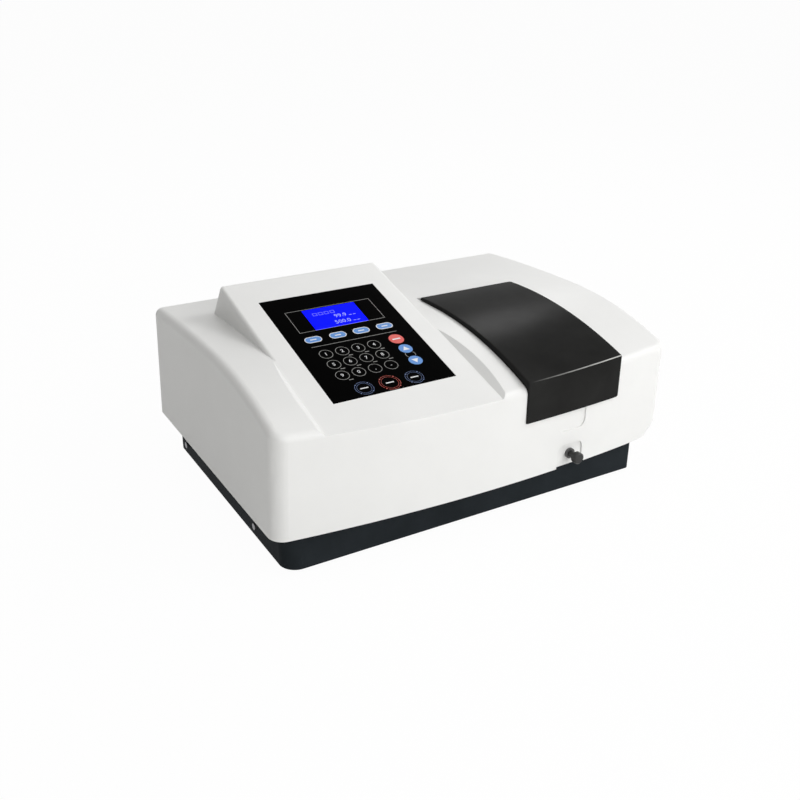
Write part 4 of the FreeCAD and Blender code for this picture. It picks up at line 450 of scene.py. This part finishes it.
def round_outline(x, up, half_width, half_height, stretch=0.0):
    """An ellipse, or a pill where stretch moves its ends apart."""
    points = []
    for index in range(ROUND_STEPS):
        angle = 2 * math.pi * index / ROUND_STEPS
        side = stretch if math.cos(angle) >= 0 else -stretch
        points.append((x + side + half_width * math.cos(angle), up + half_height * math.sin(angle)))
    return points


# Places and sizes on the film, from the photograph, in millimetres
DISPLAY_FRAME = (-143.6, 169.6, -40.6, 209.8)
DISPLAY_LEFT = -124.2
DISPLAY_LOW = 170.0
DISPLAY_TOP = 208.0
DISPLAY_FIGURES = -79.0
DISPLAY_SQUARES = 4
SQUARE_INSET = 8.5
SQUARE_PITCH = 7.0
SQUARE_SIDE = 5.2
SQUARE_DROP = 13.0
SQUARE_LINE = 0.7
READINGS = [("99.9", 18.5), ("500.0", 7.5)]
READING_HEIGHT = 8.6
UNIT_GAP = 2.4
UNIT_PITCH = 4.6
UNIT_LENGTH = 3.2
UNIT_DROP = 2.4
UNIT_WIDTH = 0.8
FRAME_LINE = 0.55
PILL_PLACES = [-134.8, -105.9, -77.9, -49.3]
PILL_UP = 155.2
PILL_RADIUS = 4.3
PILL_RIM = 0.9
PILL_STRETCH = 4.6
PILL_MARK = (3.6, 0.8)
RULE = (-142.9, 142.3, -41.1, 142.9)
KEY_COLUMNS = [-133.3, -114.6, -95.7, -76.8]
KEY_ROWS = [127.6, 109.0, 89.7]
KEY_LABELS = [["1", "2", "3", "4"], ["5", "6", "7", "8"], ["9", "0", ".", "-"]]
KEY_RADIUS = 7.4
KEY_LINE = 0.55
KEY_FIGURE = 6.8
KEYS_WITHOUT_MARK = [(0, 0), (2, 1), (2, 2), (2, 3)]
KEY_MARK_NEAR = 3.0
KEY_MARK_FAR = 8.0
KEY_MARK_DROP = 2.2
KEY_MARK_WIDTH = 1.0
RED_KEY = (-48.7, 129.3)
RED_RADIUS = 8.4
RED_MARK = (4.8, 1.0)
UP_KEY = (-47.9, 110.4)
DOWN_KEY = (-48.0, 88.7)
ARROW_RADIUS = 7.6
ARROW_HALF = 4.0
ARROW_FOOT = 2.6
LINK_RADIUS = 5.8
LINK_LINE = 0.6
LINK_STARTS = [-38, 142]
LINK_SWEEP = 76
LOWER_KEYS = [(-121.9, 63.8), (-92.7, 63.6), (-63.8, 63.7)]
LOWER_RED = 1
LOWER_RADIUS = 10.0
LOWER_RED_RADIUS = 11.4
LOWER_LINE = 0.42
LOWER_ARC_START = 55
LOWER_ARC_SWEEP = 70
LOWER_DOT = 0.8
LOWER_DOT_INSET = 0.3
LOWER_INNER_GAP = 2.2
LOWER_INNER_LINE = 0.3
LOWER_MARK = (4.6, 0.75)


def ink(name, colour, roughness=0.4, vary=0.03):
    """Printed ink, with hardly any grain."""
    return surface(name, colour, roughness, vary=vary, grain=1500.0, grain_strength=0.02)


print_white = ink("print_white", PRINT_WHITE)
print_grey = ink("print_grey", PRINT_GREY, vary=0.05)
print_blue = ink("print_blue", KEY_BLUE, 0.35, 0.05)
print_red = ink("print_red", KEY_RED, 0.35, 0.05)
figure_white = ink("figure_white", FIGURE_WHITE)
figure_dim = ink("figure_dim", FIGURE_DIM)
ring_red = ink("ring_red", RING_RED, vary=0.06)
ring_blue = ink("ring_blue", RING_BLUE, vary=0.06)


def mark_key(marks, x, up, half_length, half_width):
    """A plain short bar in the middle of a key."""
    marks.bar(x - half_length, up - half_width, x + half_length, up + half_width)


def print_key_grid(grey, white):
    """The ringed number keys, each with its numeral and most with a small mark under it."""
    for row, up in enumerate(KEY_ROWS):
        for column, x in enumerate(KEY_COLUMNS):
            grey.ring(x, up, KEY_RADIUS, KEY_LINE)
            white.numerals(KEY_LABELS[row][column], x, up, KEY_FIGURE)
            if (row, column) not in KEYS_WITHOUT_MARK:
                low = up - KEY_RADIUS - KEY_MARK_DROP
                grey.bar(x + KEY_MARK_NEAR, low, x + KEY_MARK_FAR, low + KEY_MARK_WIDTH)


def print_pill_keys(blue, white):
    """The four pill-shaped keys under the display, each with a rim and a plain bar."""
    rim = PILL_RADIUS + PILL_RIM
    for x in PILL_PLACES:
        inside = round_outline(x, PILL_UP, PILL_RADIUS, PILL_RADIUS, PILL_STRETCH)
        white.band(round_outline(x, PILL_UP, rim, rim, PILL_STRETCH), inside)
        blue.polygon(inside)
    for x in PILL_PLACES:
        mark_key(white, x, PILL_UP, *PILL_MARK)


def print_side_keys(blue, red, grey):
    """The red key and the two arrow keys, with the arcs that join them."""
    red.disc(*RED_KEY, RED_RADIUS)
    for x, up in (UP_KEY, DOWN_KEY):
        blue.disc(x, up, ARROW_RADIUS)
    middle = (UP_KEY[1] + DOWN_KEY[1]) / 2
    for start in LINK_STARTS:
        grey.arc_ring(UP_KEY[0], middle, LINK_RADIUS, LINK_LINE, start, LINK_SWEEP)


def print_side_marks(marks):
    """The arrows, and a plain bar on the red key."""
    x, up = UP_KEY
    foot = up - ARROW_FOOT
    marks.polygon([(x - ARROW_HALF, foot), (x + ARROW_HALF, foot), (x, up + ARROW_HALF)])
    x, up = DOWN_KEY
    foot = up + ARROW_FOOT
    marks.polygon([(x - ARROW_HALF, foot), (x, up - ARROW_HALF), (x + ARROW_HALF, foot)])
    mark_key(marks, *RED_KEY, *RED_MARK)


def print_lower_keys(red, blue, marks):
    """The three large keys at the foot: a ring of arcs and dots, a thin ring and a plain bar."""
    for index, (x, up) in enumerate(LOWER_KEYS):
        lines = red if index == LOWER_RED else blue
        radius = LOWER_RED_RADIUS if index == LOWER_RED else LOWER_RADIUS
        reach = radius - LOWER_DOT_INSET
        for quarter in range(4):
            lines.arc_ring(x, up, radius, LOWER_LINE, quarter * 90 + LOWER_ARC_START, LOWER_ARC_SWEEP)
            turn = math.radians(quarter * 90 + 45)
            lines.disc(x + reach * math.cos(turn), up + reach * math.sin(turn), LOWER_DOT)
        lines.ring(x, up, radius - LOWER_INNER_GAP, LOWER_INNER_LINE)
        mark_key(marks, x, up, *LOWER_MARK)


def print_display(figures, dim):
    """A row of small squares, and under it the reading and the wavelength, on the lit display."""
    foot = DISPLAY_TOP - SQUARE_DROP
    for index in range(DISPLAY_SQUARES):
        left = DISPLAY_LEFT + SQUARE_INSET + index * SQUARE_PITCH
        dim.frame(left, foot, left + SQUARE_SIDE, foot + SQUARE_SIDE, SQUARE_LINE)
    for reading, rise in READINGS:
        up = DISPLAY_LOW + rise
        figures.numerals(reading, DISPLAY_FIGURES, up, READING_HEIGHT, "RIGHT")
        low = up - UNIT_DROP
        for step in range(2):
            left = DISPLAY_FIGURES + UNIT_GAP + step * UNIT_PITCH
            figures.bar(left, low, left + UNIT_LENGTH, low + UNIT_WIDTH)


grey = Print("print_grey_marks", print_grey)
white = Print("print_white_marks", print_white, PRINT_LIFT * 2)
blue = Print("print_blue_keys", print_blue)
red = Print("print_red_key", print_red)
red_rings = Print("print_red_rings", ring_red)
blue_rings = Print("print_blue_rings", ring_blue)
display_marks = Print("display_figures", figure_white)
display_squares = Print("display_squares", figure_dim)
print_key_grid(grey, white)
print_pill_keys(blue, white)
print_side_keys(blue, red, grey)
print_side_marks(white)
print_lower_keys(red_rings, blue_rings, white)
grey.frame(*DISPLAY_FRAME, FRAME_LINE)
grey.bar(*RULE)
print_display(display_marks, display_squares)
for marks in (grey, white, blue, red, red_rings, blue_rings):
    marks.build()
for marks in (display_marks, display_squares):
    marks.build("display_glass")


# Studio
FLOOR_WHITE = (0.93, 0.93, 0.92, 1)
FLOOR_REACH = 20.0
FLOOR_PLAIN = 0.97
BACKGROUND_WHITE = 1.0
AMBIENT = 0.26
AMBIENT_TINT = (1.0, 0.995, 0.97, 1)
BODY_MIDDLE = (0, 0, 0.1)
LID_MIDDLE = (0.1, -0.05, 0.17)


def seen_white(tree, other_closure, plain_share):
    """White by plain_share to camera, glossy and transmission rays, and other_closure to the rest."""
    path = tree.nodes.new("ShaderNodeLightPath")
    seen = path.outputs["Is Camera Ray"]
    for ray in ("Is Glossy Ray", "Is Transmission Ray"):
        either = tree.nodes.new("ShaderNodeMath")
        either.operation = "MAXIMUM"
        tree.links.new(seen, either.inputs[0])
        tree.links.new(path.outputs[ray], either.inputs[1])
        seen = either.outputs["Value"]
    share = tree.nodes.new("ShaderNodeMath")
    share.operation = "MULTIPLY"
    share.inputs[1].default_value = plain_share
    tree.links.new(seen, share.inputs[0])
    mixed = tree.nodes.new("ShaderNodeMixShader")
    plain = tree.nodes.new("ShaderNodeBackground" if other_closure.node.type == "BACKGROUND"
                           else "ShaderNodeEmission")
    plain.inputs["Color"].default_value = (1, 1, 1, 1)
    plain.inputs["Strength"].default_value = BACKGROUND_WHITE
    tree.links.new(share.outputs["Value"], mixed.inputs["Fac"])
    tree.links.new(other_closure, mixed.inputs[1])
    tree.links.new(plain.outputs[0], mixed.inputs[2])
    return mixed.outputs["Shader"]


def make_world():
    """A pale world that lights evenly and is seen as white."""
    world = bpy.data.worlds.new("studio")
    bpy.context.scene.world = world
    world.use_nodes = True
    tree = world.node_tree
    tree.nodes.clear()
    output = tree.nodes.new("ShaderNodeOutputWorld")
    ambient = tree.nodes.new("ShaderNodeBackground")
    ambient.inputs["Color"].default_value = AMBIENT_TINT
    ambient.inputs["Strength"].default_value = AMBIENT
    tree.links.new(seen_white(tree, ambient.outputs["Background"], 1.0), output.inputs["Surface"])


def make_floor():
    """A wide pale floor, on which only the object's shadow shows."""
    size = FLOOR_REACH
    corners = [(-size, -size, 0), (size, -size, 0), (size, size, 0), (-size, size, 0)]
    mesh = bpy.data.meshes.new("floor")
    mesh.from_pydata(corners, [], [(0, 1, 2, 3)])
    floor = bpy.data.objects.new("floor", mesh)
    bpy.context.scene.collection.objects.link(floor)
    material, tree, shader = new_material("floor_white")
    shader.inputs["Base Color"].default_value = FLOOR_WHITE
    shader.inputs["Roughness"].default_value = 0.9
    shader.inputs["Specular IOR Level"].default_value = 0.0
    output = [node for node in tree.nodes if node.type == "OUTPUT_MATERIAL"][0]
    tree.links.new(seen_white(tree, shader.outputs["BSDF"], FLOOR_PLAIN), output.inputs["Surface"])
    mesh.materials.append(material)


def make_light(name, place, target, width, height, power):
    """A soft white lamp at a place, turned to its target."""
    light = bpy.data.lights.new(name, "AREA")
    light.shape = "RECTANGLE"
    light.size = width
    light.size_y = height
    light.energy = power
    holder = bpy.data.objects.new(name, light)
    holder.location = place
    direction = Vector(target) - Vector(place)
    holder.rotation_euler = direction.to_track_quat("-Z", "Y").to_euler()
    bpy.context.scene.collection.objects.link(holder)


def make_camera():
    """The photograph's camera."""
    camera = bpy.data.cameras.new("camera")
    camera.sensor_fit = "HORIZONTAL"
    camera.sensor_width = SENSOR_WIDTH
    camera.lens = CAMERA_LENS
    holder = bpy.data.objects.new("camera", camera)
    forward = Vector((
        math.sin(CAMERA_YAW) * math.cos(CAMERA_PITCH), math.cos(CAMERA_YAW) * math.cos(CAMERA_PITCH),
        -math.sin(CAMERA_PITCH),
    ))
    right = Vector((math.cos(CAMERA_YAW), -math.sin(CAMERA_YAW), 0))
    up = right.cross(forward)
    rolled_right = right * math.cos(CAMERA_ROLL) + up * math.sin(CAMERA_ROLL)
    rolled_up = up * math.cos(CAMERA_ROLL) - right * math.sin(CAMERA_ROLL)
    turn = Matrix((rolled_right, rolled_up, -forward)).transposed()
    holder.matrix_world = Matrix.Translation(CAMERA_PLACE) @ turn.to_4x4()
    bpy.context.scene.collection.objects.link(holder)
    bpy.context.scene.camera = holder


make_world()
make_floor()
make_light("key", (1.7, -1.1, 1.9), BODY_MIDDLE, 1.4, 1.0, 28)
make_light("front", (0.1, -2.2, 1.0), BODY_MIDDLE, 1.6, 1.0, 22)
make_light("top", (0.0, 0.2, 2.4), BODY_MIDDLE, 2.0, 2.0, 9.5)
make_light("rear", (1.36, 1.42, 1.43), LID_MIDDLE, 0.32, 0.32, 4.2)
make_camera()
bpy.context.scene.view_settings.view_transform = "Standard"
